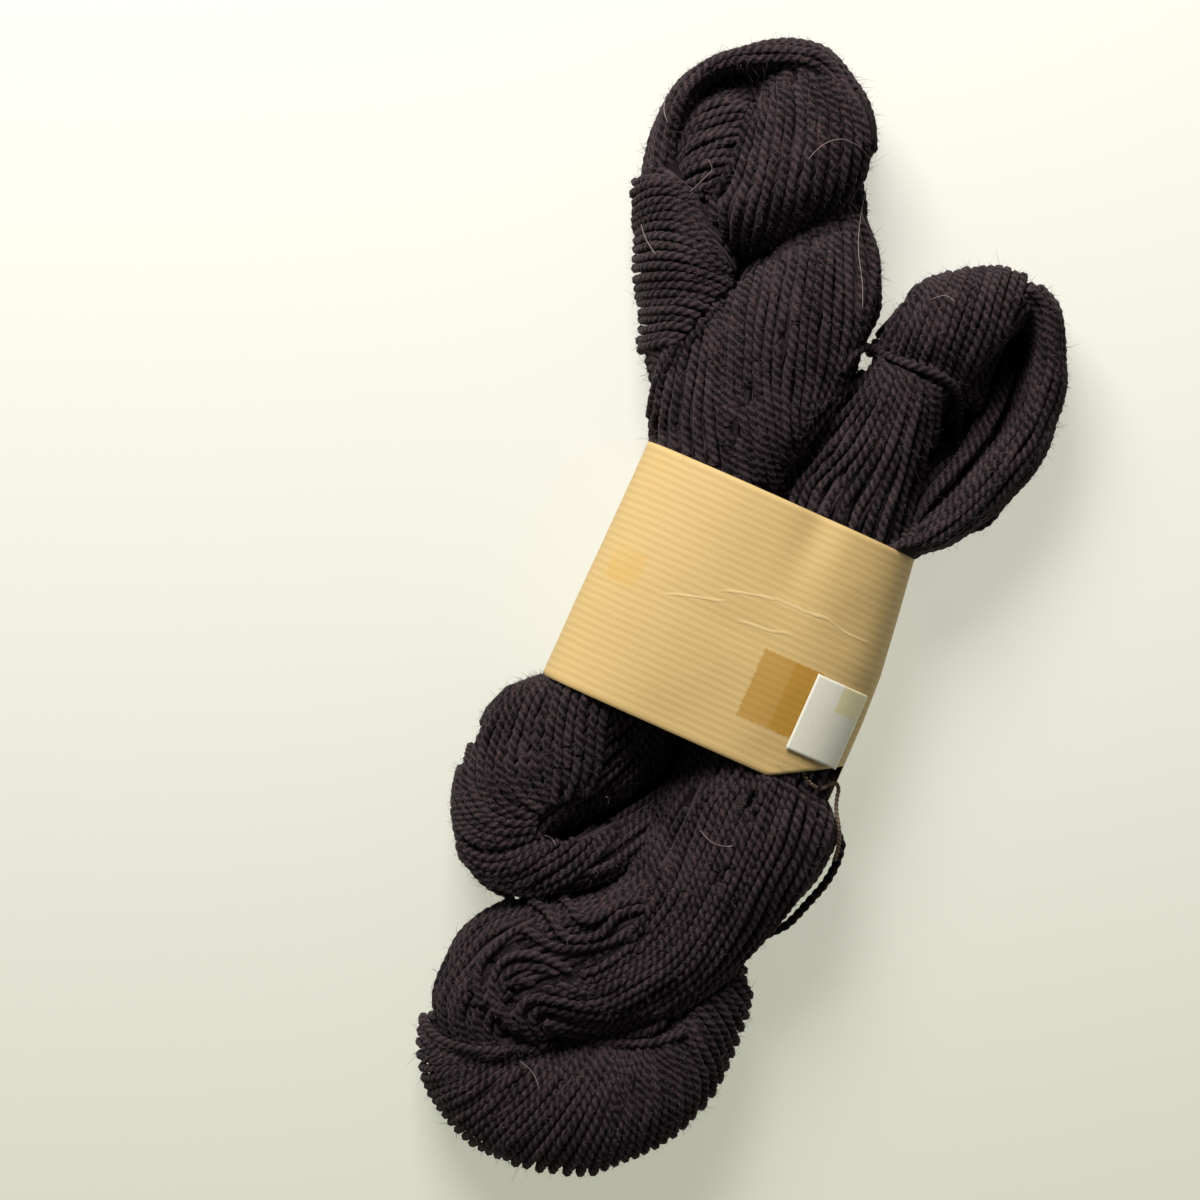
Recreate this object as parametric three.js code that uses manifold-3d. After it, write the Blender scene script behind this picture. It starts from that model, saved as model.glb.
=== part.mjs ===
// A skein of thick plied wool: two small twisted hanks lying side by side in one paper band.
//
// Millimetres, +Z up. The skein lies on the plane z = 0. The origin is the middle of the band's
// flat underside, +Y runs along the band's tube towards the heads of the hanks, and +X runs
// across it, from the left hank to the right one.
//
// Each hank is a few bundles of yarn. A bundle is a loft of sections, and a row of its table is
// one section, seen from above: the left edge, the right edge, how far the section's middle bows
// sideways, and how high its crown stands. The bundles of a hank are joined into one solid.

import * as THREE from "three";
import { mergeVertices } from "three/addons/utils/BufferGeometryUtils.js";
import Module from "manifold-3d";

const wasm = await Module();
wasm.setup();

// Driving sizes of the yarn and its bundles
const YARN_DIAMETER = 2.4;
const THREAD_DIAMETER = 1.2;
const SECTION_SIDES = 14;
const SECTION_FULLNESS = 2.3; // exponent of the section's superellipse: 2 is an ellipse
const SINK = 3; // how far a bundle would reach below the table if the table didn't flatten it
const EDGE_HEIGHT = 0.42; // height of a section's widest line, as a share of its crown
const STEPS_BETWEEN_ROWS = 2;
const CORD_SIDES = 8;
const HANK_GAP = 1.2; // between the two hanks
const PAPER_GAP = 0.5; // between yarn and paper
const CORD_GAP = 0.6; // between a tie and the yarn it presses into
const BEYOND = 200; // farther than any side of the skein, for the blocks that only cut

// Driving sizes of the paper band
const PAPER_THICKNESS = 1;
const BAND_SIDES = 36;
const BAND_FULLNESS = 2.7;
const BAND_EDGE_HEIGHT = 18;
const BAND_ROWS = [
  // along, left side, right side, crown
  [-33.6, -36.4, 42.0, 40.4],
  [-12.0, -36.3, 41.8, 40.8],
  [0.0, -36.1, 41.2, 40.8],
  [15.0, -35.9, 39.2, 40.4],
  [30.2, -35.8, 37.0, 40.0],
];
// The turned corner: the cut runs from this point of the lower edge up to the right side
const TURNED_CORNER = { x: 24.5, y: -33.6, rise: 0.56 };

// The slip of paper stuck on the band: its edges as seen from above, and its gap to the band
const SLIP = { left: 25.5, right: 39.1, low: -25.6, high: -5.6, gap: 0.6, thickness: 1 };
const SLIP_STEPS = 10;

// Bundles of the left hank: left x, left y, right x, right y, bow, crown
const LEFT_FOLD = [
  [-34.6, 23, -0.5, 28.5, 0, 37],
  [-34.6, -2, 0.6, -2.5, 0, 37],
  [-34.8, -30.5, 2, -33.5, 0, 37],
  [-42, -38.5, 2, -45, 0, 36],
  [-45, -50, -2, -54.5, 0, 36],
  [-45, -65.5, -9, -61.5, 0, 35],
  [-40.5, -78.5, -14.5, -66, 0, 34],
  [-33, -87, -15, -67, 0, 33],
  [-23, -90, -13.5, -66.5, 0, 33],
  [-11.5, -87.5, -11.5, -64, 0, 32],
  [0, -77.5, -8.5, -59, 0, 31],
  [8.5, -66, -2, -51, 0, 28],
  [15, -53, 5, -40, 0, 24],
];
const LEFT_NECK = [
  [-34.6, -2, 0.6, -2.5, 0, 37],
  [-34.6, 29.5, 0.8, 30.5, 0, 37],
  [-39, 38.5, 3, 45, 0, 39],
  [-41, 48, 6.5, 59.5, 0, 40],
  [-38.5, 57, 4.5, 73.5, 0, 41],
  [-35.5, 68.5, 3, 86.5, 0, 41],
  [-33, 79, -1.5, 98, 0, 38],
  [-28, 88, -10, 106, 0, 31],
  [-26.5, 96.5, -17.5, 107, 0, 22],
];
const LEFT_BULB = [
  [-48.5, 122.5, -33, 138, 0, 34],
  [-48, 115, -22.5, 131.5, 0, 40],
  [-46, 106.5, -15.5, 123, 0, 43],
  [-45.5, 96.5, -12.5, 115.5, 0, 44],
  [-46.5, 87, -13, 108.5, 0, 42],
  [-40.5, 80.5, -17.5, 98.5, 0, 34],
  [-33, 79.5, -22.5, 90.5, 0, 24],
];
const LEFT_RIM = [
  [-60.5, 81, -49.5, 86, 0, 24],
  [-65, 91.5, -54.5, 97.5, 0, 29],
  [-67, 103, -59, 108, 0, 32],
  [-66.5, 112.5, -59, 114.5, 0, 34],
  [-61.5, 122.5, -54.5, 120.5, 0, 35],
  [-54, 130, -49, 123.5, 0, 36],
  [-44.5, 137, -42, 126, 0, 37],
  [-35, 138.5, -36, 127.5, 0, 38],
  [-25.5, 134, -30, 124.5, 0, 38],
  [-18, 127.5, -24, 118, 0, 38],
  [-13.5, 120, -20, 113.5, 0, 36],
];
const LEFT_INNER = [
  [-62.5, 98, -51, 81.5, 0, 18],
  [-61.5, 112.5, -47.5, 81.5, 0, 32],
  [-57, 118.5, -43, 85.5, 0, 35],
  [-50.5, 121.5, -38.5, 90, 0, 34],
  [-43.5, 121.5, -34.5, 95.5, 0, 26],
];
const LEFT_WRAP = [
  [-65.5, 92.5, -51, 95.5, 3, 30],
  [-64, 85, -41.5, 88, 3.5, 33],
  [-59.5, 77, -31, 78.5, 4, 35],
  [-55.5, 68, -28.5, 67, 3.5, 36],
  [-51, 59, -30.5, 57.5, 2.5, 35],
  [-47, 51.5, -33, 48.5, 1.5, 33],
  [-42, 45, -34.5, 42, 0.5, 29],
];

// Yarn under the head of the left hank, so that no pit reaches the table
const LEFT_BASE = [
  [-39, 41.5, -5.5, 55, 0, 22],
  [-47, 55.5, -2, 81, 0, 25],
  [-56, 73.5, -6.5, 99.5, 0, 26],
  [-63, 89.5, -12.5, 111.5, 0, 27],
  [-65.5, 104.5, -19.5, 124.5, 0, 27],
  [-62, 117, -28, 131.5, 0, 26],
  [-53.5, 127.5, -37, 134, 0, 22],
];

// Bundles of the right hank, in the same columns
const LOOP_NECK = [
  [1.2, 27.5, 34.8, 27.5, 0, 37],
  [1.2, 35, 33.5, 34.5, 0, 38],
  [2.5, 45.5, 32, 44, 0, 39],
  [4.5, 58, 29.5, 55.5, 0, 39],
  [6.5, 68, 29.5, 65.5, 0, 39],
  [8.5, 75, 31, 72.5, 0, 38],
  [9, 81.5, 32.5, 79, 0, 36],
];
const LOOP_FAN = [
  [12.5, 70.5, 6.5, 73, 0, 27],
  [13.5, 71, 6.5, 80, 0, 34],
  [15, 71, 8.5, 89, 0.5, 39],
  [17, 71.5, 13, 97, 1, 42],
  [19.5, 71.5, 19.5, 102, 1.5, 43],
  [22.5, 71.5, 27, 106, 2, 43],
  [25.5, 71.5, 34, 107, 2, 41],
  [28.5, 71, 40.5, 105, 2, 38],
  [29.5, 70.5, 39, 98.5, 1.5, 34],
  [30, 70, 36, 90, 1, 31],
  [30.5, 69, 36.5, 80, 0.5, 28],
  [30, 67.5, 38.5, 71.5, 0, 25],
];
const LOOP_BACK = [
  [30, 98.5, 39, 106, 0, 36],
  [37, 96.5, 45.5, 102, 0, 34],
  [42, 90.5, 51, 93.5, 0, 31],
  [42.5, 80.5, 55, 83, 0, 29],
  [43, 70, 56.5, 71, 0, 28],
  [40, 59.5, 55.5, 60, 0, 29],
  [36.5, 48, 52, 49.5, 0, 31],
  [32, 37, 44, 38, 0, 33],
  [26, 27, 36.5, 29, 0, 35],
  [22, 6.5, 37, 6.5, 0, 36],
];
const LOOP_FLOOR = [
  [27, 26.5, 36, 30, 0, 26],
  [31, 38.5, 41.5, 41.5, 0, 20],
  [31.5, 49.5, 47.5, 53, 0, 16],
  [30.5, 60, 49, 65.5, 0, 14],
  [30, 71, 50, 78.5, 0, 12],
  [30, 83, 47, 91.5, 0, 11],
  [31.5, 95.5, 42.5, 100.5, 0, 11],
];
const RIGHT_FOLD = [
  [1.6, 30.5, 35.2, 30.5, 0, 37],
  [1.6, -2.5, 39.6, -1.5, 0, 37.5],
  [3, -34, 40.5, -29, 0, 38],
  [1.5, -51, 48.5, -40, 0, 39],
  [1, -67, 47.5, -51.5, 0, 39],
  [-2.5, -76, 45, -63.5, 0, 39],
  [-10, -82.5, 40, -76.5, 0, 39],
  [-21.5, -88.5, 32, -94, 0, 38],
  [-28.5, -97, 22.5, -105, 0, 37],
  [-31, -107.5, 13.5, -110.5, 0, 36],
  [-30, -118.5, 8.5, -112.5, 0, 35],
  [-25.5, -126, 6.5, -114, 0, 33],
  [-18, -130, 5.5, -115.5, 0, 31],
  [-6.5, -128.5, 5.5, -116.5, 0, 28],
  [6.5, -125, 6, -116.5, 0, 23],
];
const RIGHT_FAN = [
  [-7, -112.5, -29, -124.5, 0, 24],
  [0, -116, -26.5, -131.5, 1.5, 27],
  [4, -116, -20.5, -139.5, 2, 30],
  [8, -113.5, -12, -145.5, 2, 32],
  [13, -109.5, 0.5, -148.5, 1.5, 33],
  [17.5, -106, 14.5, -146.5, 1, 34],
  [21, -102.5, 27.5, -141.5, 0.5, 34],
  [23.5, -98.5, 37, -132, -1, 34],
  [26.5, -94.5, 43.5, -118, -2, 33],
  [29.5, -89.5, 46, -104, -2, 31],
  [31, -84.5, 45, -91.5, -2, 27],
  [31.5, -79.5, 42, -80, -1, 21],
];

// Routes of the two ties: x, y, z of the middle of the yarn
const NECK_TIE_ROUTE = [
  [1.4, 70, 31.4],
  [2.8, 71.9, 30],
  [4.4, 73.3, 28.2],
  [6.4, 74, 27.6],
  [8.8, 73.7, 29.8],
  [12, 73.2, 34.6],
  [16, 73.1, 38.2],
  [20, 73.4, 39],
  [24, 73.6, 37.8],
  [27.6, 72.8, 34],
  [30.2, 71.3, 29],
  [31.9, 68.8, 24],
  [33.4, 66, 19.4],
  [35, 63.2, 16],
  [36.8, 60.2, 14.6],
];
const BROWN_THREAD_ROUTE = [
  [31.8, -28.8, 33.6],
  [33.4, -30.2, 33.4],
  [35.4, -31.2, 32.4],
  [37.4, -31.5, 30],
  [39, -30.7, 27.6],
  [40.2, -29.3, 25.9],
  [41.6, -28.7, 24.7],
  [42.8, -29.8, 23.8],
  [43.3, -31.8, 23.6],
  [44, -34, 23.8],
  [45.1, -36, 23.9],
  [46.6, -38.2, 23.5],
  [47.9, -40.6, 22.4],
  [48.9, -43.6, 20.8],
  [49.4, -46.8, 19],
];

// A smooth table of rows: Catmull-Rom between the given rows, a few steps to each
function smoothRows(rows, steps) {
  const last = rows.length - 1;
  const at = (index) => rows[Math.min(Math.max(index, 0), last)];
  const smooth = [];
  for (let step = 0; step <= last * steps; step += 1) {
    const index = Math.min(Math.floor(step / steps), last - 1);
    const f = step / steps - index;
    smooth.push(at(index).map((value, column) => {
      const before = at(index - 1)[column];
      const next = at(index + 1)[column];
      const after = at(index + 2)[column];
      const slope = next - before;
      const bend = 2 * before - 5 * value + 4 * next - after;
      const twist = 3 * value - before - 3 * next + after;
      return value + 0.5 * f * (slope + f * (bend + f * twist));
    }));
  }
  return smooth;
}

// A power that keeps the sign, for superellipses
function signedPower(value, exponent) {
  return Math.sign(value) * Math.abs(value) ** exponent;
}

// One closed section of a bundle, as a ring of points
function bundleRing([leftX, leftY, rightX, rightY, bow, crown], grow) {
  const acrossX = rightX - leftX;
  const acrossY = rightY - leftY;
  const width = Math.hypot(acrossX, acrossY);
  const edge = EDGE_HEIGHT * crown;
  const ring = [];
  for (let side = 0; side < SECTION_SIDES; side += 1) {
    const angle = (2 * Math.PI * (side + 0.5)) / SECTION_SIDES;
    const across = signedPower(Math.cos(angle), 2 / SECTION_FULLNESS);
    const up = signedPower(Math.sin(angle), 2 / SECTION_FULLNESS);
    const share = 0.5 + across * (0.5 + grow / width);
    const sideways = bow * (1 - across * across);
    ring.push([
      leftX + acrossX * share - (acrossY / width) * sideways,
      leftY + acrossY * share + (acrossX / width) * sideways,
      edge + up * (up > 0 ? crown - edge + grow : edge + SINK),
    ]);
  }
  return ring;
}

// A closed geometry through rings of the same number of points, each end closed by a fan
function loftRings(rings) {
  const sides = rings[0].length;
  const vertices = rings.flat(2);
  const indices = [];
  for (let ring = 0; ring < rings.length - 1; ring += 1) {
    for (let side = 0; side < sides; side += 1) {
      const here = ring * sides + side;
      const beside = ring * sides + ((side + 1) % sides);
      indices.push(here, beside, beside + sides, here, beside + sides, here + sides);
    }
  }
  for (const [first, turned] of [[0, true], [(rings.length - 1) * sides, false]]) {
    for (let side = 1; side < sides - 1; side += 1) {
      const pair = [first + side, first + side + 1];
      indices.push(first, ...(turned ? pair.reverse() : pair));
    }
  }
  const geometry = new THREE.BufferGeometry();
  geometry.setAttribute("position", new THREE.Float32BufferAttribute(vertices, 3));
  geometry.setIndex(indices);
  return geometry;
}

// A solid from a closed geometry, turned right side out if its loft ran the other way
function toSolid(geometry) {
  const bare = geometry.clone();
  bare.deleteAttribute("normal");
  bare.deleteAttribute("uv");
  const merged = mergeVertices(bare, 1e-4);
  const mesh = (triVerts) => new wasm.Mesh({
    numProp: 3,
    vertProperties: Float32Array.from(merged.attributes.position.array),
    triVerts,
  });
  const triVerts = Uint32Array.from(merged.index.array);
  const solid = new wasm.Manifold(mesh(triVerts));
  return solid.volume() > 0 ? solid : new wasm.Manifold(mesh(triVerts.reverse()));
}

// A geometry from a solid
function toGeometry(solid) {
  const { vertProperties, triVerts } = solid.getMesh();
  const geometry = new THREE.BufferGeometry();
  geometry.setAttribute("position", new THREE.Float32BufferAttribute(vertProperties, 3));
  geometry.setIndex(Array.from(triVerts));
  geometry.computeVertexNormals();
  return geometry;
}

// All the bundles of a hank as one solid, grown by a clearance where it is used to cut
function joinBundles(tables, grow = 0) {
  const bundles = tables.map((rows) => {
    const rings = smoothRows(rows, STEPS_BETWEEN_ROWS).map((row) => bundleRing(row, grow));
    return toSolid(loftRings(rings));
  });
  return bundles.reduce((whole, bundle) => whole.add(bundle));
}

// A round cord along a route of points
function cordGeometry(route, diameter) {
  const section = new THREE.Shape();
  section.absarc(0, 0, diameter / 2, 0, 2 * Math.PI);
  const path = new THREE.CatmullRomCurve3(route.map((point) => new THREE.Vector3(...point)));
  const options = { steps: route.length * 2, extrudePath: path, curveSegments: CORD_SIDES / 2 };
  return new THREE.ExtrudeGeometry(section, options);
}

// The bed that a cord presses into the yarn: wider than the cord, and longer at both its ends
function cordBed(route, diameter) {
  const points = route.map((point) => new THREE.Vector3(...point));
  const lengthened = (end, next) => end.clone().sub(next).setLength(CORD_GAP).add(end).toArray();
  const first = lengthened(points[0], points[1]);
  const last = lengthened(points.at(-1), points.at(-2));
  return toSolid(cordGeometry([first, ...route, last], diameter + 2 * CORD_GAP));
}

// The band's left side, right side and crown at one place along it
function bandRow(y) {
  const last = BAND_ROWS.length - 1;
  let row = 0;
  while (row < last - 1 && y > BAND_ROWS[row + 1][0]) {
    row += 1;
  }
  const [startY] = BAND_ROWS[row];
  const share = (y - startY) / (BAND_ROWS[row + 1][0] - startY);
  return BAND_ROWS[row].slice(1).map(
    (value, column) => value + (BAND_ROWS[row + 1][column + 1] - value) * share,
  );
}

// A point of the band's outer section, moved inwards or outwards by an offset
function bandPoint(y, angle, offset) {
  const [left, right, crown] = bandRow(y);
  const across = signedPower(Math.cos(angle), 2 / BAND_FULLNESS);
  const up = signedPower(Math.sin(angle), 2 / BAND_FULLNESS);
  const reach = (right - left) / 2 + offset;
  const x = (left + right) / 2 + across * reach;
  const lift = up > 0 ? crown - BAND_EDGE_HEIGHT + offset : BAND_EDGE_HEIGHT + SINK + offset;
  return [x, y, Math.max(BAND_EDGE_HEIGHT + up * lift, -offset)];
}

// A closed tube of the band's shape, filled inside
function bandTube(places, offset) {
  const rings = places.map((y) => {
    const ring = [];
    for (let side = 0; side < BAND_SIDES; side += 1) {
      ring.push(bandPoint(y, (2 * Math.PI * (side + 0.5)) / BAND_SIDES, offset));
    }
    return ring;
  });
  return toSolid(loftRings(rings));
}

// A box between two corners
function boxBetween(low, high) {
  const size = high.map((value, index) => value - low[index]);
  const box = new THREE.BoxGeometry(...size);
  box.translate(...low.map((value, index) => value + size[index] / 2));
  return toSolid(box);
}

// The band: an oval tube of paper with its lower right corner turned in
function paperBand() {
  const places = BAND_ROWS.map(([y]) => y);
  const first = places[0];
  const last = places[places.length - 1];
  const bore = bandTube([first - 1, ...places.slice(1, -1), last + 1], -PAPER_THICKNESS);
  const corner = new THREE.Shape();
  corner.moveTo(TURNED_CORNER.x, TURNED_CORNER.y - BEYOND);
  corner.lineTo(TURNED_CORNER.x + BEYOND, TURNED_CORNER.y - BEYOND);
  corner.lineTo(TURNED_CORNER.x + BEYOND, TURNED_CORNER.y + BEYOND * TURNED_CORNER.rise);
  corner.lineTo(TURNED_CORNER.x, TURNED_CORNER.y);
  const wedge = new THREE.ExtrudeGeometry(corner, { depth: BEYOND, bevelEnabled: false });
  wedge.translate(0, 0, BAND_EDGE_HEIGHT);
  return bandTube(places, 0).subtract(bore).subtract(toSolid(wedge));
}

// All the room round the band that yarn can't use: it is pinched to the band's inside
function bandJacket() {
  const places = BAND_ROWS.map(([y]) => y);
  const low = places[0] - PAPER_GAP;
  const high = places[places.length - 1] + PAPER_GAP;
  const bore = bandTube([low - 1, ...places.slice(1, -1), high + 1], -PAPER_THICKNESS - PAPER_GAP);
  return boxBetween([-BEYOND, low, -BEYOND], [BEYOND, high, BEYOND]).subtract(bore);
}

// The slip: a small sheet that follows the band's outside, as one thin section after another
function paperSlip() {
  const slipPoint = (x, y, offset) => {
    const [left, right] = bandRow(y);
    const across = (2 * x - left - right) / (right - left);
    return bandPoint(y, Math.acos(across ** (BAND_FULLNESS / 2)), offset);
  };
  const sections = [];
  for (let step = 0; step <= SLIP_STEPS; step += 1) {
    const x = SLIP.left + ((SLIP.right - SLIP.left) * step) / SLIP_STEPS;
    sections.push([
      slipPoint(x, SLIP.low, SLIP.gap),
      slipPoint(x, SLIP.high, SLIP.gap),
      slipPoint(x, SLIP.high, SLIP.gap + SLIP.thickness),
      slipPoint(x, SLIP.low, SLIP.gap + SLIP.thickness),
    ]);
  }
  return toSolid(loftRings(sections));
}

// Colours and finishes
const wool = new THREE.MeshStandardMaterial({ color: 0x35292e, roughness: 0.95, metalness: 0 });
const brownWool = new THREE.MeshStandardMaterial({ color: 0x7a6656, roughness: 0.95, metalness: 0 });
const kraftPaper = new THREE.MeshStandardMaterial({ color: 0xc9aa70, roughness: 0.8, metalness: 0 });
const whitePaper = new THREE.MeshStandardMaterial({ color: 0xe9e6da, roughness: 0.7, metalness: 0 });

// The two hanks, the left one tucked under and beside the right one
const leftTables = [LEFT_FOLD, LEFT_NECK, LEFT_BULB, LEFT_RIM, LEFT_INNER, LEFT_WRAP, LEFT_BASE];
const rightTables = [LOOP_NECK, LOOP_FAN, LOOP_BACK, LOOP_FLOOR, RIGHT_FOLD, RIGHT_FAN];
const tableTop = boxBetween([-BEYOND, -BEYOND, -BEYOND], [BEYOND, BEYOND, 0]);
const neckTieBed = cordBed(NECK_TIE_ROUTE, YARN_DIAMETER);
const threadBed = cordBed(BROWN_THREAD_ROUTE, THREAD_DIAMETER);
const cutters = [bandJacket(), tableTop, neckTieBed, threadBed];
const cutAway = (hank) => cutters.reduce((rest, cutter) => rest.subtract(cutter), hank);
const rightHank = cutAway(joinBundles(rightTables));
const leftHank = cutAway(joinBundles(leftTables).subtract(joinBundles(rightTables, HANK_GAP)));

const skein = new THREE.Group();
function place(name, geometry, material) {
  const mesh = new THREE.Mesh(geometry, material);
  mesh.name = name;
  skein.add(mesh);
}
place("hank_left", toGeometry(leftHank), wool);
place("hank_right", toGeometry(rightHank), wool);
place("paper_band", toGeometry(paperBand()), kraftPaper);
place("paper_slip", toGeometry(paperSlip()), whitePaper);
place("neck_tie", cordGeometry(NECK_TIE_ROUTE, YARN_DIAMETER), wool);
place("brown_thread", cordGeometry(BROWN_THREAD_ROUTE, THREAD_DIAMETER), brownWool);

export default skein;
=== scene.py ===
# %% [markdown]
# # A skein of wool yarn in a paper band
# Two small twisted hanks of thick, dark, two-ply wool lie side by side in one band of kraft paper.
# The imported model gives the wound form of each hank. This lesson lays the turns of yarn over that
# form, ties them, wraps the paper round them, and lights them for a picture from above.

import bmesh
import bpy
import numpy as np
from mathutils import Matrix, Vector


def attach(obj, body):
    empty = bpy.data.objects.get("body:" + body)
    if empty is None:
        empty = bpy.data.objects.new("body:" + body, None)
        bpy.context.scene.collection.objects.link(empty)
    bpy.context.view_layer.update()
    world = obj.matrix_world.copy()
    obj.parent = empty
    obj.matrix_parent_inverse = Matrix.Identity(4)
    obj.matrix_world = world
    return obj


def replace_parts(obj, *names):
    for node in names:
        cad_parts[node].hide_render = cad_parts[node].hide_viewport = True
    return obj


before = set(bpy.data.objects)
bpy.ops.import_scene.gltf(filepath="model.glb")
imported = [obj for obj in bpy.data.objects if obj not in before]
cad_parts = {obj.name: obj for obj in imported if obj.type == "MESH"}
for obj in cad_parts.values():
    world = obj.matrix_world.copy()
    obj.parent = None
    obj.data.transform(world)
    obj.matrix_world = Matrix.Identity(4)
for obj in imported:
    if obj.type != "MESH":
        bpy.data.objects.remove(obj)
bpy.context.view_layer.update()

# %% [markdown]
# ## The camera
# The picture looks straight down. The skein lies at a slant in it, so the camera is turned about
# the vertical by that slant. A camera without perspective would do too, but a long lens from far
# away also shows what is higher a little larger, as the photo does.

# %% Camera
PICTURE_WIDTH = 0.3
PICTURE_CENTRE = (-0.0307, -0.0109, 0.02)
CAMERA_DISTANCE = 1.2
CAMERA_TURN = np.radians(24)

lens = bpy.data.cameras.new("camera")
lens.lens = lens.sensor_width * CAMERA_DISTANCE / PICTURE_WIDTH
camera = bpy.data.objects.new("camera", lens)
camera.location = (PICTURE_CENTRE[0], PICTURE_CENTRE[1], PICTURE_CENTRE[2] + CAMERA_DISTANCE)
camera.rotation_euler = (0, 0, CAMERA_TURN)
bpy.context.scene.collection.objects.link(camera)
bpy.context.scene.camera = camera
print("lens in mm", round(lens.lens, 1))

# %% [markdown]
# ## The forms of the hanks
# A hank is a few bundles of yarn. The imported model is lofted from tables, and the same tables
# stand here, in millimetres, because the yarn has to lie on the same surface. A row is one section
# seen from above: its left edge, its right edge, how far its middle bows, and its crown's height.
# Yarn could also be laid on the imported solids, but a table knows which way its bundle runs.

# %% Tables of the left hank
MM = 0.001
SECTION_FULLNESS = 2.3
EDGE_HEIGHT = 0.42
SINK = 3
MOST_DRAWN_IN = 0.45

# left x, left y, right x, right y, bow, crown
LEFT_FOLD = [
    (-34.6, 23, -0.5, 28.5, 0, 37),
    (-34.6, -2, 0.6, -2.5, 0, 37),
    (-34.8, -30.5, 2, -33.5, 0, 37),
    (-42, -38.5, 2, -45, 0, 36),
    (-45, -50, -2, -54.5, 0, 36),
    (-45, -65.5, -9, -61.5, 0, 35),
    (-40.5, -78.5, -14.5, -66, 0, 34),
    (-33, -87, -15, -67, 0, 33),
    (-23, -90, -13.5, -66.5, 0, 33),
    (-11.5, -87.5, -11.5, -64, 0, 32),
    (0, -77.5, -8.5, -59, 0, 31),
    (8.5, -66, -2, -51, 0, 28),
    (15, -53, 5, -40, 0, 24),
]
LEFT_NECK = [
    (-34.6, -2, 0.6, -2.5, 0, 37),
    (-34.6, 29.5, 0.8, 30.5, 0, 37),
    (-39, 38.5, 3, 45, 0, 39),
    (-41, 48, 6.5, 59.5, 0, 40),
    (-38.5, 57, 4.5, 73.5, 0, 41),
    (-35.5, 68.5, 3, 86.5, 0, 41),
    (-33, 79, -1.5, 98, 0, 38),
    (-28, 88, -10, 106, 0, 31),
    (-26.5, 96.5, -17.5, 107, 0, 22),
]
LEFT_BULB = [
    (-48.5, 122.5, -33, 138, 0, 34),
    (-48, 115, -22.5, 131.5, 0, 40),
    (-46, 106.5, -15.5, 123, 0, 43),
    (-45.5, 96.5, -12.5, 115.5, 0, 44),
    (-46.5, 87, -13, 108.5, 0, 42),
    (-40.5, 80.5, -17.5, 98.5, 0, 34),
    (-33, 79.5, -22.5, 90.5, 0, 24),
]
LEFT_RIM = [
    (-60.5, 81, -49.5, 86, 0, 24),
    (-65, 91.5, -54.5, 97.5, 0, 29),
    (-67, 103, -59, 108, 0, 32),
    (-66.5, 112.5, -59, 114.5, 0, 34),
    (-61.5, 122.5, -54.5, 120.5, 0, 35),
    (-54, 130, -49, 123.5, 0, 36),
    (-44.5, 137, -42, 126, 0, 37),
    (-35, 138.5, -36, 127.5, 0, 38),
    (-25.5, 134, -30, 124.5, 0, 38),
    (-18, 127.5, -24, 118, 0, 38),
    (-13.5, 120, -20, 113.5, 0, 36),
]
LEFT_INNER = [
    (-62.5, 98, -51, 81.5, 0, 18),
    (-61.5, 112.5, -47.5, 81.5, 0, 32),
    (-57, 118.5, -43, 85.5, 0, 35),
    (-50.5, 121.5, -38.5, 90, 0, 34),
    (-43.5, 121.5, -34.5, 95.5, 0, 26),
]
LEFT_WRAP = [
    (-65.5, 92.5, -51, 95.5, 3, 30),
    (-64, 85, -41.5, 88, 3.5, 33),
    (-59.5, 77, -31, 78.5, 4, 35),
    (-55.5, 68, -28.5, 67, 3.5, 36),
    (-51, 59, -30.5, 57.5, 2.5, 35),
    (-47, 51.5, -33, 48.5, 1.5, 33),
    (-42, 45, -34.5, 42, 0.5, 29),
]
LEFT_BASE = [
    (-39, 41.5, -5.5, 55, 0, 22),
    (-47, 55.5, -2, 81, 0, 25),
    (-56, 73.5, -6.5, 99.5, 0, 26),
    (-63, 89.5, -12.5, 111.5, 0, 27),
    (-65.5, 104.5, -19.5, 124.5, 0, 27),
    (-62, 117, -28, 131.5, 0, 26),
    (-53.5, 127.5, -37, 134, 0, 22),
]
print("left fold", len(LEFT_FOLD), "sections, left neck", len(LEFT_NECK))

# %% [markdown]
# The right hank is an open loop above the band, and below it a wide fold that ends in a fan of
# strands. Its tables are read in the same way.

# %% Tables of the right hank
# left x, left y, right x, right y, bow, crown
LOOP_NECK = [
    (1.2, 27.5, 34.8, 27.5, 0, 37),
    (1.2, 35, 33.5, 34.5, 0, 38),
    (2.5, 45.5, 32, 44, 0, 39),
    (4.5, 58, 29.5, 55.5, 0, 39),
    (6.5, 68, 29.5, 65.5, 0, 39),
    (8.5, 75, 31, 72.5, 0, 38),
    (9, 81.5, 32.5, 79, 0, 36),
]
LOOP_FAN = [
    (12.5, 70.5, 6.5, 73, 0, 27),
    (13.5, 71, 6.5, 80, 0, 34),
    (15, 71, 8.5, 89, 0.5, 39),
    (17, 71.5, 13, 97, 1, 42),
    (19.5, 71.5, 19.5, 102, 1.5, 43),
    (22.5, 71.5, 27, 106, 2, 43),
    (25.5, 71.5, 34, 107, 2, 41),
    (28.5, 71, 40.5, 105, 2, 38),
    (29.5, 70.5, 39, 98.5, 1.5, 34),
    (30, 70, 36, 90, 1, 31),
    (30.5, 69, 36.5, 80, 0.5, 28),
    (30, 67.5, 38.5, 71.5, 0, 25),
]
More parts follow.
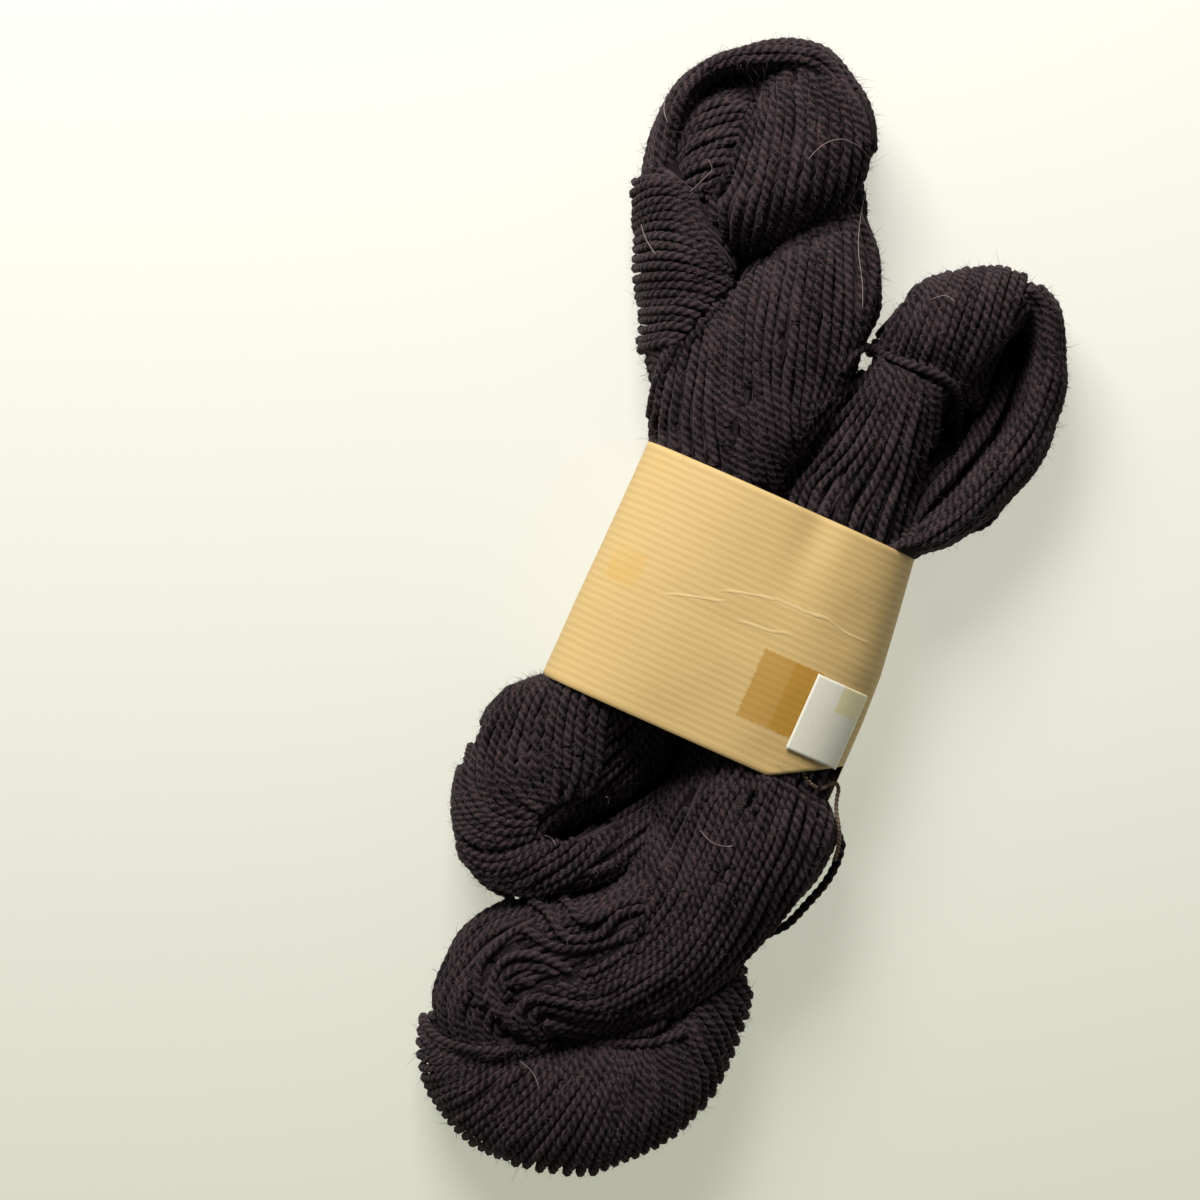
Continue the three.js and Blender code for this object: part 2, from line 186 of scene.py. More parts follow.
LOOP_BACK = [
    (30, 98.5, 39, 106, 0, 36),
    (37, 96.5, 45.5, 102, 0, 34),
    (42, 90.5, 51, 93.5, 0, 31),
    (42.5, 80.5, 55, 83, 0, 29),
    (43, 70, 56.5, 71, 0, 28),
    (40, 59.5, 55.5, 60, 0, 29),
    (36.5, 48, 52, 49.5, 0, 31),
    (32, 37, 44, 38, 0, 33),
    (26, 27, 36.5, 29, 0, 35),
    (22, 6.5, 37, 6.5, 0, 36),
]
LOOP_FLOOR = [
    (27, 26.5, 36, 30, 0, 26),
    (31, 38.5, 41.5, 41.5, 0, 20),
    (31.5, 49.5, 47.5, 53, 0, 16),
    (30.5, 60, 49, 65.5, 0, 14),
    (30, 71, 50, 78.5, 0, 12),
    (30, 83, 47, 91.5, 0, 11),
    (31.5, 95.5, 42.5, 100.5, 0, 11),
]
RIGHT_FOLD = [
    (1.6, 30.5, 35.2, 30.5, 0, 37),
    (1.6, -2.5, 39.6, -1.5, 0, 37.5),
    (3, -34, 40.5, -29, 0, 38),
    (1.5, -51, 48.5, -40, 0, 39),
    (1, -67, 47.5, -51.5, 0, 39),
    (-2.5, -76, 45, -63.5, 0, 39),
    (-10, -82.5, 40, -76.5, 0, 39),
    (-21.5, -88.5, 32, -94, 0, 38),
    (-28.5, -97, 22.5, -105, 0, 37),
    (-31, -107.5, 13.5, -110.5, 0, 36),
    (-30, -118.5, 8.5, -112.5, 0, 35),
    (-25.5, -126, 6.5, -114, 0, 33),
    (-18, -130, 5.5, -115.5, 0, 31),
    (-6.5, -128.5, 5.5, -116.5, 0, 28),
    (6.5, -125, 6, -116.5, 0, 23),
]
RIGHT_FAN = [
    (-7, -112.5, -29, -124.5, 0, 24),
    (0, -116, -26.5, -131.5, 1.5, 27),
    (4, -116, -20.5, -139.5, 2, 30),
    (8, -113.5, -12, -145.5, 2, 32),
    (13, -109.5, 0.5, -148.5, 1.5, 33),
    (17.5, -106, 14.5, -146.5, 1, 34),
    (21, -102.5, 27.5, -141.5, 0.5, 34),
    (23.5, -98.5, 37, -132, -1, 34),
    (26.5, -94.5, 43.5, -118, -2, 33),
    (29.5, -89.5, 46, -104, -2, 31),
    (31, -84.5, 45, -91.5, -2, 27),
    (31.5, -79.5, 42, -80, -1, 21),
]
print("right fold", len(RIGHT_FOLD), "sections, right fan", len(RIGHT_FAN))

# %% [markdown]
# A table becomes a surface in two steps: its rows are joined by smooth curves, and each row is
# drawn as a rounded section. Both work on whole arrays, so a bundle is one call.

# %% From a table to a surface


def smooth_rows(rows, places):
    """The table's columns as curves. A place is a row number with a fraction. Between two rows
    each column follows the Catmull-Rom cubic: it passes through both of them, and its slope at
    a row is half the difference of that row's neighbours."""
    rows = np.asarray(rows, float)
    last = len(rows) - 1
    index = np.clip(np.floor(places).astype(int), 0, last - 1)
    f = (places - index)[:, None]
    before, here, after, beyond = (rows[np.clip(index + k, 0, last)] for k in (-1, 0, 1, 2))
    bend = 2 * before - 5 * here + 4 * after - beyond
    twist = 3 * here - before - 3 * after + beyond
    return here + 0.5 * f * (after - before + f * (bend + f * twist))


def signed_power(value, exponent):
    """The size of a value to a power, with the value's sign."""
    return np.sign(value) * np.abs(value) ** exponent


def smooth_step(value):
    """0 below 0, 1 above 1, and an S-shaped rise between."""
    value = np.clip(value, 0, 1)
    return value * value * (3 - 2 * value)


def section_points(rows, angles, inset):
    """Points of the sections, an array of rows by angles. Across, a point is the row's middle
    plus the half width times the cosine to the power 2 / fullness. Up, it is the edge's height
    plus the rise to the crown times the sine to that power. The table flattens what would be
    below it, and everything is drawn in from the surface by the inset."""
    left, right = rows[:, None, 0:2], rows[:, None, 2:4]
    bow, crown = rows[:, None, 4:5], rows[:, None, 5]
    across = signed_power(np.cos(angles), 2 / SECTION_FULLNESS)[..., None]
    up = signed_power(np.sin(angles), 2 / SECTION_FULLNESS)
    span = right - left
    width = np.linalg.norm(span, axis=-1, keepdims=True)
    inset = np.asarray(inset, float)
    drawn_in = np.minimum((inset[..., None] if inset.ndim else inset) / width, MOST_DRAWN_IN)
    sideways = np.stack([-span[..., 1], span[..., 0]], -1) / width * bow * (1 - across**2)
    place = left + span * (0.5 + across * (0.5 - drawn_in)) + sideways
    edge = EDGE_HEIGHT * crown
    height = edge + up * np.where(up > 0, crown - edge - inset, edge + SINK)
    height = np.maximum(height, inset)
    return np.concatenate([place, height[..., None]], -1)


def along(points, axis=0):
    """Distance run along lines of points, from 0 at each line's start."""
    steps = np.linalg.norm(np.diff(points, axis=axis), axis=-1)
    run = np.cumsum(steps, axis=axis)
    return np.insert(run, 0, 0, axis=axis)


fold_edge = smooth_rows(LEFT_FOLD, np.linspace(0, len(LEFT_FOLD) - 1, 200))[:, 0:2]
print("outer edge of the left fold", round(float(along(fold_edge)[-1])), "mm")

# %% [markdown]
# ## Dents and waves
# The bundles of a real skein sag, bulge and sway together. Every point of yarn is moved by the
# same gentle field, so neighbours stay neighbours. Noise for each strand by itself would let them
# cut through each other. On top of the field come the dents and bulges that the photo shows, each
# a soft push round one place.

# %% Pushes
# x, y, radius, push in x, push in y, push in z
PUSHES = [
    (-4, -43, 12, 0, 0, -11),
    (8, -58, 8, 0, 0, -5),
    (-9, -60, 8, 0, 0, -4),
    (-44, 62, 9, 1.5, 0, 0),
    (-2, 82, 7, 1.5, 0, 0),
    (24, -92, 12, 0, 0, 1.5),
    (-33, 80, 6, 0, 0, -5),
    (2, 40, 6, 0, 0, -3),
]
SWAYS = 7
SWAY_SIZES = (0.28, 0.25, 0.3)
CALM_MIDDLE, CALM_REACH = -2, 38
PUSHED_FROM = 14
LOWEST_YARN = 1.0


def sway_field():
    """Directions, phases and sizes of the waves that all yarn shares."""
    random = np.random.default_rng(77)
    bearing = random.uniform(0, 2 * np.pi, SWAYS)
    shortest, longest = 16, 46
    wavelength = random.uniform(shortest, longest, SWAYS)
    waves = np.stack([np.cos(bearing), np.sin(bearing)], 1) * (2 * np.pi / wavelength)[:, None]
    return waves, random.uniform(0, 2 * np.pi, (SWAYS, 3)), wavelength / longest


WAVES, PHASES, SIZES = sway_field()


def push(points):
    """Moves points by the shared sway, which is calm near the band, and by the pushes near them,
    which die away as a bell curve does and leave the underside alone."""
    x, y = points[..., 0], points[..., 1]
    moved = points.copy()
    calm = 1 - np.exp(-(((y - CALM_MIDDLE) / CALM_REACH) ** 4))
    for axis, size in enumerate(SWAY_SIZES):
        angle = x[..., None] * WAVES[:, 0] + y[..., None] * WAVES[:, 1] + PHASES[:, axis]
        moved[..., axis] += size * calm * (np.sin(angle) * SIZES).sum(-1)
    high = smooth_step(points[..., 2] / PUSHED_FROM)
    for place_x, place_y, radius, *shove in PUSHES:
        near = np.exp(-((x - place_x) ** 2 + (y - place_y) ** 2) / radius**2) * high
        moved += near[..., None] * np.array(shove)
    moved[..., 2] = np.maximum(moved[..., 2], LOWEST_YARN)
    return moved


print("shared waves", (2 * np.pi / np.linalg.norm(WAVES, axis=1)).round(), "mm long")

# %% [markdown]
# ## Which yarn shows
# Bundles run through each other inside a hank, and no one sees that yarn. Cells of 1 mm are
# filled with the bundles, and peeling a few layers off them leaves the cells that lie too deep to
# be seen. Rays from outside would find them too, but cells are quick and need no mesh.

# %% Cells inside the hanks
CELL = 1.0
CELLS_LOW = np.array([-75.0, -155.0, -2.0])
CELLS_SHAPE = (140, 300, 50)
HIDDEN_DEPTH = 5
FILL_ROWS, FILL_ANGLES, FILL_SHARES = 24, 160, 36


def cell_of(points):
    """The cell that holds each point, kept inside the block of cells."""
    index = np.floor((points - CELLS_LOW) / CELL).astype(int)
    return tuple(np.moveaxis(np.clip(index, 0, np.array(CELLS_SHAPE) - 1), -1, 0))


def fill_bundle(cells, rows):
    """Marks every cell inside a bundle: its sections, shrunk in steps towards their middles."""
    places = np.linspace(0, len(rows) - 1, FILL_ROWS * len(rows))
    angles = np.linspace(0, 2 * np.pi, FILL_ANGLES)[None, :]
    rings = section_points(smooth_rows(rows, places), angles, 0)
    middles = rings.mean(axis=1, keepdims=True)
    for share in np.linspace(0, 1, FILL_SHARES):
        cells[cell_of(middles + share * (rings - middles))] = True


def peel(cells, layers):
    """Cells that are still inside after so many outer layers are taken off."""
    for _ in range(layers):
        inner = cells.copy()
        for axis in range(3):
            inner &= np.roll(cells, 1, axis) & np.roll(cells, -1, axis)
        cells = inner
    return cells


BUNDLES = {
    "left_fold": LEFT_FOLD,
    "left_neck": LEFT_NECK,
    "left_bulb": LEFT_BULB,
    "left_rim": LEFT_RIM,
    "left_inner": LEFT_INNER,
    "left_wrap": LEFT_WRAP,
    "left_base": LEFT_BASE,
    "loop_neck": LOOP_NECK,
    "loop_fan": LOOP_FAN,
    "loop_back": LOOP_BACK,
    "loop_floor": LOOP_FLOOR,
    "right_fold": RIGHT_FOLD,
    "right_fan": RIGHT_FAN,
}
inside = np.zeros(CELLS_SHAPE, bool)
for table in BUNDLES.values():
    fill_bundle(inside, table)
hidden = peel(inside, HIDDEN_DEPTH)
print("cells inside", int(inside.sum()), "hidden", int(hidden.sum()))

# %% [markdown]
# The top's height is kept on a finer map, seen from above: the highest point of any bundle in
# each cell. A second map of the same cells will remember which of them a top layer covers.

# %% Height of the top
MAP_CELL = 0.5
TOP_ROWS, TOP_ANGLES = 40, 200


def map_cell(points):
    """The cell of the height map that each point stands over."""
    cell = np.floor((points[..., :2] - CELLS_LOW[:2]) / MAP_CELL).astype(int)
    return cell[..., 0], cell[..., 1]


top = np.zeros((int(CELLS_SHAPE[0] * CELL / MAP_CELL), int(CELLS_SHAPE[1] * CELL / MAP_CELL)))
angles = np.linspace(0, np.pi, TOP_ANGLES)[None, :]
for table in BUNDLES.values():
    places = np.linspace(0, len(table) - 1, TOP_ROWS * len(table))
    surface = push(section_points(smooth_rows(table, places), angles, 0))
    np.maximum.at(top, map_cell(surface), surface[..., 2])
under_cover = np.zeros(top.shape, bool)
print("highest point in mm", round(float(top.max()), 1))


def top_height(places):
    """Height of the highest bundle at each place, read between four neighbouring cells."""
    grid = (np.asarray(places)[..., :2] - CELLS_LOW[:2]) / MAP_CELL - 0.5
    low = np.floor(grid).astype(int)
    f = grid - low
    x, y = low[..., 0], low[..., 1]
    near = top[x, y] * (1 - f[..., 1]) + top[x, y + 1] * f[..., 1]
    far = top[x + 1, y] * (1 - f[..., 1]) + top[x + 1, y + 1] * f[..., 1]
    return near * (1 - f[..., 0]) + far * f[..., 0]


# %% [markdown]
# ## Strands
# A strand is a line of points on a bundle's surface, with the direction out of the surface at
# each. On most bundles the strands run along: they keep their share of the way round the section.
# On a fan they run across: each strand is one section. Real strands wander, press into each other
# and cross, so each gets its own slow waves sideways and in depth. Where they crowd together, some
# of them dive under their neighbours. Physics could lay them too, but it would take hours for
# hundreds of strands, and waves look much the same.

# %% Strands along a bundle
YARN = 2.4
STRAND_INSET = 1.05
STRAND_SPACING = 2.2
STEP = 0.76
GOLDEN_SHARE = 0.618034
RING_POINTS = 241
HIGHEST_STRAND = 0.5
OUTWARD_STEP = 0.5
FEWEST_PLACES, PLACE_LENGTH = 40, 0.9
CLUMP_STRANDS = 3.7
SUNK_SHARE = 0.4
DIVE_MARGIN, DIVE_SPREAD, DIVE_SHIFT = 0.03, 0.18, 0.4


def slow_waves(random, count, run, wavelength, size):
    """For each strand its own sum of two sine waves along the run, as an array run by strand."""
    total = 0
    for part in (1.0, 0.55):
        waves = wavelength * part * random.uniform(0.75, 1.3, count)
        phases = random.uniform(0, 2 * np.pi, count)
        total = total + part * np.sin(2 * np.pi * run[..., None] / waves + phases)
    return size * total / 1.55


def dive_of(room, count):
    """How far down strands dive, from 0 to 1, where the room for each is less than its width.
    The golden share spreads those that dive first evenly among their neighbours."""
    rank = (np.arange(count) * GOLDEN_SHARE) % 1
    late = rank - np.clip(room / STRAND_SPACING, 0, 1) - DIVE_MARGIN
    return smooth_step(late / DIVE_SPREAD + DIVE_SHIFT)


def lay_along(rows, random, wander=0.55, depth=0.4, clumps=0.35, turn=0.0, under=0.0):
    """Strands that run along a bundle. Returns points, outward directions and dives, each an
    array of strands by places."""
    rough = section_points(smooth_rows(rows, np.arange(len(rows), dtype=float)), np.zeros((1, 1)), 0)
    steps = max(FEWEST_PLACES, int(along(rough[:, 0])[-1] / PLACE_LENGTH))
    places = np.linspace(0, len(rows) - 1, steps)
    smooth = smooth_rows(rows, places)
    angles = np.linspace(-np.pi / 2, 3 * np.pi / 2, RING_POINTS)
    rings = section_points(smooth, angles[None, :], STRAND_INSET)
    around = along(rings, axis=1)
    girth = around[:, -1]
    count = int(np.percentile(girth, 75) / STRAND_SPACING)
    run = along(rings[:, RING_POINTS // 2])
    share = (np.arange(count) + 0.5)[None, :] / count + turn * places[:, None] / (len(rows) - 1)
    group = share * count / CLUMP_STRANDS + slow_waves(random, 1, run, wavelength=70, size=0.35)
    group = np.sin(2 * np.pi * group)
    shift = slow_waves(random, count, run, wavelength=34, size=wander) + clumps * group
    share = (share + shift / girth[:, None]) % 1
    room = np.repeat(girth[:, None] / count, count, axis=1)
    dive = dive_of(room, count)
    waves = slow_waves(random, count, run, wavelength=27, size=depth)
    inset = STRAND_INSET + waves + depth * SUNK_SHARE + YARN * dive + under
    inset = np.maximum(inset, HIGHEST_STRAND)
    bearing = np.stack([np.interp(share[i] * girth[i], around[i], angles) for i in range(steps)])
    points = section_points(smooth, bearing, inset)
    outward = section_points(smooth, bearing, inset - OUTWARD_STEP) - points
    return points.swapaxes(0, 1), outward.swapaxes(0, 1), dive.T


print("yarn", YARN, "mm thick, a strand every", STRAND_SPACING, "mm")

# %% [markdown]
# On a fan or a wrap the strands go from the inner edge over the crown to the outer edge. They are
# evenly spaced outside and crowd inside, and that is where some of them dive.

# %% Strands across a bundle
ACROSS_POINTS = 90
OUTLINE_POINTS = 400
LEAN_POWER = 1.4


def lay_across(rows, random, start, stop, lean, wander=0.5, depth=0.4, under=0.0):
    """Strands that run across a bundle: each one is a section, from the start angle round to the
    stop angle. They are evenly spaced on the outline, and crowd where they meet. The lean says
    for each row of the outline which row's inner edge the strands there come from."""
    fine = smooth_rows(rows, np.linspace(0, len(rows) - 1, OUTLINE_POINTS))
    outline = fine[:, 2:4] if np.cos((start + stop) / 2) > 0 or stop < 0 else fine[:, 0:2]
    run = along(outline)
    count = int(run[-1] / STRAND_SPACING)
    at = (np.arange(count) + 0.5) * STRAND_SPACING
    at = np.interp(at, run, np.linspace(0, len(rows) - 1, OUTLINE_POINTS))
    angles = np.linspace(start, stop, ACROSS_POINTS)
    sweep = np.linspace(0, ACROSS_POINTS, ACROSS_POINTS)
    drift = slow_waves(random, count, sweep, wavelength=46, size=wander) * (len(rows) - 1) / run[-1]
    inner_share = 0.5 - 0.5 * np.cos(angles) * (1 if stop < 0 else -1)
    lent = np.interp(at, np.arange(len(rows)), lean) - at
    places = at[:, None] + drift.T + lent[:, None] * inner_share**LEAN_POWER
    places = np.clip(places, 0, len(rows) - 1)
    smooth = smooth_rows(rows, places.ravel())
    bearing = np.broadcast_to(angles, (count, ACROSS_POINTS)).reshape(-1, 1)
    flat = section_points(smooth, bearing, STRAND_INSET).reshape(count, ACROSS_POINTS, 3)
    room = np.linalg.norm(np.gradient(flat, axis=0), axis=-1)
    dive = dive_of(room.T, count).T
    waves = slow_waves(random, count, sweep, wavelength=40, size=depth).T
    inset = STRAND_INSET + under + waves + depth * SUNK_SHARE + YARN * dive
    inset = np.maximum(inset, HIGHEST_STRAND).reshape(-1, 1)
    points = section_points(smooth, bearing, inset).reshape(count, ACROSS_POINTS, 3)
    outer = section_points(smooth, bearing, inset - OUTWARD_STEP).reshape(count, ACROSS_POINTS, 3)
    return points, outer - points, dive


# %% [markdown]
# ## The yarn
# The strands of a group are kept together, as runs of points a fixed step apart, so that one call
# can make them all.

# %% Runs of yarn


class Runs:
    """Lengths of yarn that will become one mesh: their points, outward directions and tones."""

    def __init__(self):
        self.points, self.outward, self.lengths, self.tones, self.phases = [], [], [], [], []

    def add(self, points, outward, tone, phase):
        self.points.append(points)
        self.outward.append(outward)
        self.lengths.append(len(points))
        self.tones.append(tone)
        self.phases.append(phase)

    def metres(self, step):
        return sum(self.lengths) * step * MM


def even_steps(points, outward, step, *others):
    """The same line with its points a fixed step apart."""
    run = along(points)
    at = np.arange(0, run[-1], step)
    columns = np.column_stack([points, outward, *others])
    return np.column_stack([np.interp(at, run, column) for column in columns.T])


# %% [markdown]
# Two plies are twisted round each other. Seen end on they make a figure like an 8, and this figure
# turns once every 4.6 mm along the yarn. So the yarn is one tube whose rings are that figure, each
# turned a little further than the last, and its corners stay on the same ply all the way. Two
# tubes wound round each other would need twice the faces.

# %% A tube of two plies
PLY_PITCH = 4.6
PLY_RADII = np.array([1.22, 1.08, 0.89, 1.05, 1.22, 1.08, 0.89, 1.05])
PLAIN_RADII = np.full(5, 1.18)


def unit(vectors):
    """Vectors of length 1 in the same directions."""
    return vectors / np.maximum(np.linalg.norm(vectors, axis=-1, keepdims=True), 1e-9)


def cap_fan(corners):
    """Triangles that close a ring of corners, all of them from its first corner."""
    corner = np.arange(1, corners - 1)
    return np.stack([0 * corner, corner, corner + 1], -1)


def tube(runs, radii, step, pitch):
    """Vertices, quads, caps, UV corners and tones of tubes along all the runs. Ring by ring, a
    corner stands at its radius from the line, at its angle plus one turn for each pitch run, from
    the outward direction towards the direction sideways."""
    points = np.concatenate(runs.points)
    outward = np.concatenate(runs.outward)
    lengths = np.array(runs.lengths)
    first = np.cumsum(lengths) - lengths
    index = np.arange(len(points))
    start = np.repeat(first, lengths)
    end = start + np.repeat(lengths, lengths) - 1
    following, previous = np.minimum(index + 1, end), np.maximum(index - 1, start)
    ahead = unit(points[following] - points[previous])
    out = unit(outward - (outward * ahead).sum(-1, keepdims=True) * ahead)
    side = np.cross(ahead, out)
    run = (index - start) * step
    corners = len(radii)
    turn = 0 if pitch is None else 2 * np.pi * run / pitch
    angle = np.repeat(runs.phases, lengths)[:, None] - np.reshape(turn, (-1, 1))
    angle = angle + 2 * np.pi * np.arange(corners) / corners
    rings = np.cos(angle)[..., None] * out[:, None] + np.sin(angle)[..., None] * side[:, None]
    vertices = (points[:, None] + radii[None, :, None] * rings).reshape(-1, 3)
    here = index[index < end][:, None] * corners
    corner = np.arange(corners)[None, :]
    beside = (corner + 1) % corners
    quads = np.stack([here + corner, here + beside, here + corners + beside, here + corners + corner], -1)
    fan = cap_fan(corners)
    starts = (first * corners)[:, None, None] + fan[None, :, ::-1]
    ends = ((first + lengths - 1) * corners)[:, None, None] + fan[None]
    caps = np.concatenate([starts, ends]).reshape(-1, 3)
    scale = PLY_PITCH if pitch is None else pitch
    v = np.stack([run[index < end], run[index < end] + step], -1) / scale
    u = np.arange(corners + 1) / corners
    uv = np.zeros((len(here), corners, 4, 2))
    uv[..., 0, 0] = uv[..., 3, 0] = u[:-1]
    uv[..., 1, 0] = uv[..., 2, 0] = u[1:]
    uv[..., 0, 1] = uv[..., 1, 1] = v[:, :1]
    uv[..., 2, 1] = uv[..., 3, 1] = v[:, 1:]
    tones = np.repeat(np.repeat(runs.tones, lengths), corners)
    return vertices, quads.reshape(-1, 4), caps, uv.reshape(-1, 2), tones


print("widest ring of the yarn", round(2 * PLY_RADII.max(), 2), "mm")

# %% [markdown]
# A Blender curve with a bevel could draw each strand, but not its plies, and hundreds of curves are
# slow. Here all strands of a group become one mesh, and its points and faces are handed over as
# whole arrays. The tone is a value for each strand, so that its wool can be lighter or darker.

# %% A mesh from arrays


def make_mesh(name, vertices, quads, triangles=None, uv=None, tones=None):
    """A mesh object at the origin, from vertices in millimetres and arrays of faces."""
    triangles = np.zeros((0, 3), int) if triangles is None else triangles
    mesh = bpy.data.meshes.new(name)
    mesh.vertices.add(len(vertices))
    mesh.vertices.foreach_set("co", (vertices * MM).astype(np.float32).ravel())
    corners = np.concatenate([quads.ravel(), triangles.ravel()]).astype(np.int32)
    mesh.loops.add(len(corners))
    mesh.loops.foreach_set("vertex_index", corners)
    starts = [4 * np.arange(len(quads)), 4 * len(quads) + 3 * np.arange(len(triangles))]
    mesh.polygons.add(len(quads) + len(triangles))
    mesh.polygons.foreach_set("loop_start", np.concatenate(starts).astype(np.int32))
    mesh.update(calc_edges=True)
    mesh.shade_smooth()
    if uv is not None:
        layer = mesh.uv_layers.new(name="UVMap")
        full = np.zeros((len(corners), 2), np.float32)
        full[: len(uv)] = uv
        layer.data.foreach_set("uv", full.ravel())
    if tones is not None:
        attribute = mesh.attributes.new("tone", "FLOAT", "POINT")
        attribute.data.foreach_set("value", np.asarray(tones, np.float32))
    made = bpy.data.objects.new(name, mesh)
    bpy.context.scene.collection.objects.link(made)
    return made


# %% [markdown]
# ## Materials
# A finish is a formula: noise, waves and masks that are added and multiplied. A small class wraps
# a node's output, so that such a formula reads as one, and not as a list of links.

# %% Shader maths


class Wire:
    """One output of a node. Arithmetic on wires and numbers adds Math nodes to its tree."""

    def __init__(self, tree, socket):
        self.tree, self.socket = tree, socket

    def math(self, operation, first, second=0.0):
        return add_node(self.tree, "Math", {"operation": operation}, {0: first, 1: second})

    def __add__(self, other):
        return self.math("ADD", self, other)

    def __sub__(self, other):
        return self.math("SUBTRACT", self, other)

    def __rsub__(self, other):
        return self.math("SUBTRACT", other, self)

    def __mul__(self, other):
        return self.math("MULTIPLY", self, other)

    def __pow__(self, other):
        return self.math("POWER", self, other)

    __radd__ = __add__
    __rmul__ = __mul__

    def wave(self):
        """The cosine of this value."""
        return self.math("COSINE", self)

    def between(self, low, high):
        """0 below low, 1 above high, and a smooth rise between."""
        settings = {"interpolation_type": "SMOOTHSTEP"}
        return add_node(self.tree, "MapRange", settings, {0: self, 1: low, 2: high})


def add_node(tree, kind, settings=None, inputs=None, output=0):
    """Adds a shader node: its settings first, then its inputs' values or wires. Returns one of
    its outputs as a wire."""
    node = tree.nodes.new("ShaderNode" + kind)
    for name, value in (settings or {}).items():
        setattr(node, name, value)
    for key, value in (inputs or {}).items():
        if isinstance(value, Wire):
            tree.links.new(value.socket, node.inputs[key])
        else:
            node.inputs[key].default_value = value
    return Wire(tree, node.outputs[output])


# %% [markdown]
# All materials here start from the Principled shader. Its plain values are set at once, and the
# wires come in afterwards.

# %% Materials from wires


def mix_colours(tree, first, second, factor):
    """A blend of two colours, each a wire or red, green, blue."""
    full = [(*c, 1) if isinstance(c, tuple) else c for c in (first, second)]
    return add_node(tree, "Mix", {"data_type": "RGBA"}, {0: factor, 6: full[0], 7: full[1]}, 2)


def new_material(name, constants):
    """An empty material with a Principled shader, whose constants are set on its own sockets."""
    material = bpy.data.materials.new(name)
    material.use_nodes = True
    shader = material.node_tree.nodes["Principled BSDF"]
    for key, value in constants.items():
        shader.inputs[key].default_value = value
    return material, material.node_tree, shader


def feed(tree, shader, **wires):
    """Links wires to the shader's sockets, with underscores for spaces in their names."""
    for name, wire in wires.items():
        tree.links.new(wire.socket, shader.inputs[name.replace("_", " ")])


# %% [markdown]
# Dark wool swallows light. What shows its form is the pale bloom of fibres that stand off the
# surface, which sheen gives, and the shade in the grooves between the plies, which is painted into
# the colour. The UV map's first coordinate runs round the yarn with its plies, so a cosine of it
# paints shade in the grooves and a highlight on the plies' ridges. A picture of wool would repeat
# along the strands, and noise doesn't.

# %% Wool


def make_wool(name, deep, highlight_and_pale_tone, fleck):
    """Plied wool: painted shade in the grooves and a painted highlight on the plies, slow changes
    along a strand, warm flecks and a bump of fibres. The deep colour is the painted shade, and the
    other one is the painted highlight and the palest tone of the wool.
    """
    material, tree, shader = new_material(
        name, {"Roughness": 0.95, "Sheen Weight": 0.07, "Sheen Roughness": 0.5, "Specular IOR Level": 0.1}
    )
    shader.inputs["Sheen Tint"].default_value = (0.75, 0.62, 0.68, 1)
    place = add_node(tree, "TexCoord", output=3)
    spot = add_node(tree, "UVMap", {"uv_map": "UVMap"})
    around = add_node(tree, "SeparateXYZ", None, {0: spot}, 0)
    tone = add_node(tree, "Attribute", {"attribute_name": "tone"}, None, 2)
    # Painted shade and highlight: dark in the grooves between the plies, pale on their ridges.
    ply = 0.5 + 0.5 * (around * (4 * np.pi)).wave()
    slow = add_node(tree, "TexNoise", None, {"Vector": place, "Scale": 160, "Detail": 3.0})
    grain = add_node(tree, "TexNoise", None, {"Vector": place, "Scale": 1500, "Detail": 4.0})
    # The ply's painted shade, mixed with each strand's own tone and the wool's noise.
    light = 0.06 + 0.5 * ply**1.4 + 0.22 * tone + 0.6 * (slow - 0.5) + 0.9 * (grain - 0.5)
    light = light.between(-0.05, 1.0)
    colour = mix_colours(tree, deep, highlight_and_pale_tone, light)
    speckle = add_node(tree, "TexNoise", None, {"Vector": place, "Scale": 900, "Detail": 2.0})
    colour = mix_colours(tree, colour, fleck, speckle.between(0.56, 0.75) * 0.5)
    height = 0.5 * grain + 0.5 * speckle
    bump = add_node(tree, "Bump", None, {"Strength": 0.7, "Distance": 0.0003, "Height": height})
    feed(tree, shader, Base_Color=colour, Normal=bump)
    return material


# For both wools the first colour is painted shade in the grooves, the second painted highlight on the plies.
wool = make_wool("dark_wool", (0.0025, 0.0018, 0.0022), (0.052, 0.0355, 0.041), (0.11, 0.055, 0.06))
brown_wool = make_wool("brown_wool", (0.09, 0.06, 0.045), (0.3, 0.22, 0.17), (0.36, 0.26, 0.2))
print("made", wool.name, "and", brown_wool.name)


def finish_piece(piece, material):
    """Gives a piece its material, and lets it ride on the one body."""
    piece.data.materials.append(material)
    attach(piece, "root")
    return piece


# %% [markdown]
# ## The ties
# A length of the same yarn is tied round the neck of the open loop, and a thin brown thread comes
# out from under the band. Their routes are the imported model's. Each is a tube of two plies like all
# the yarn, and takes the place of its imported part.

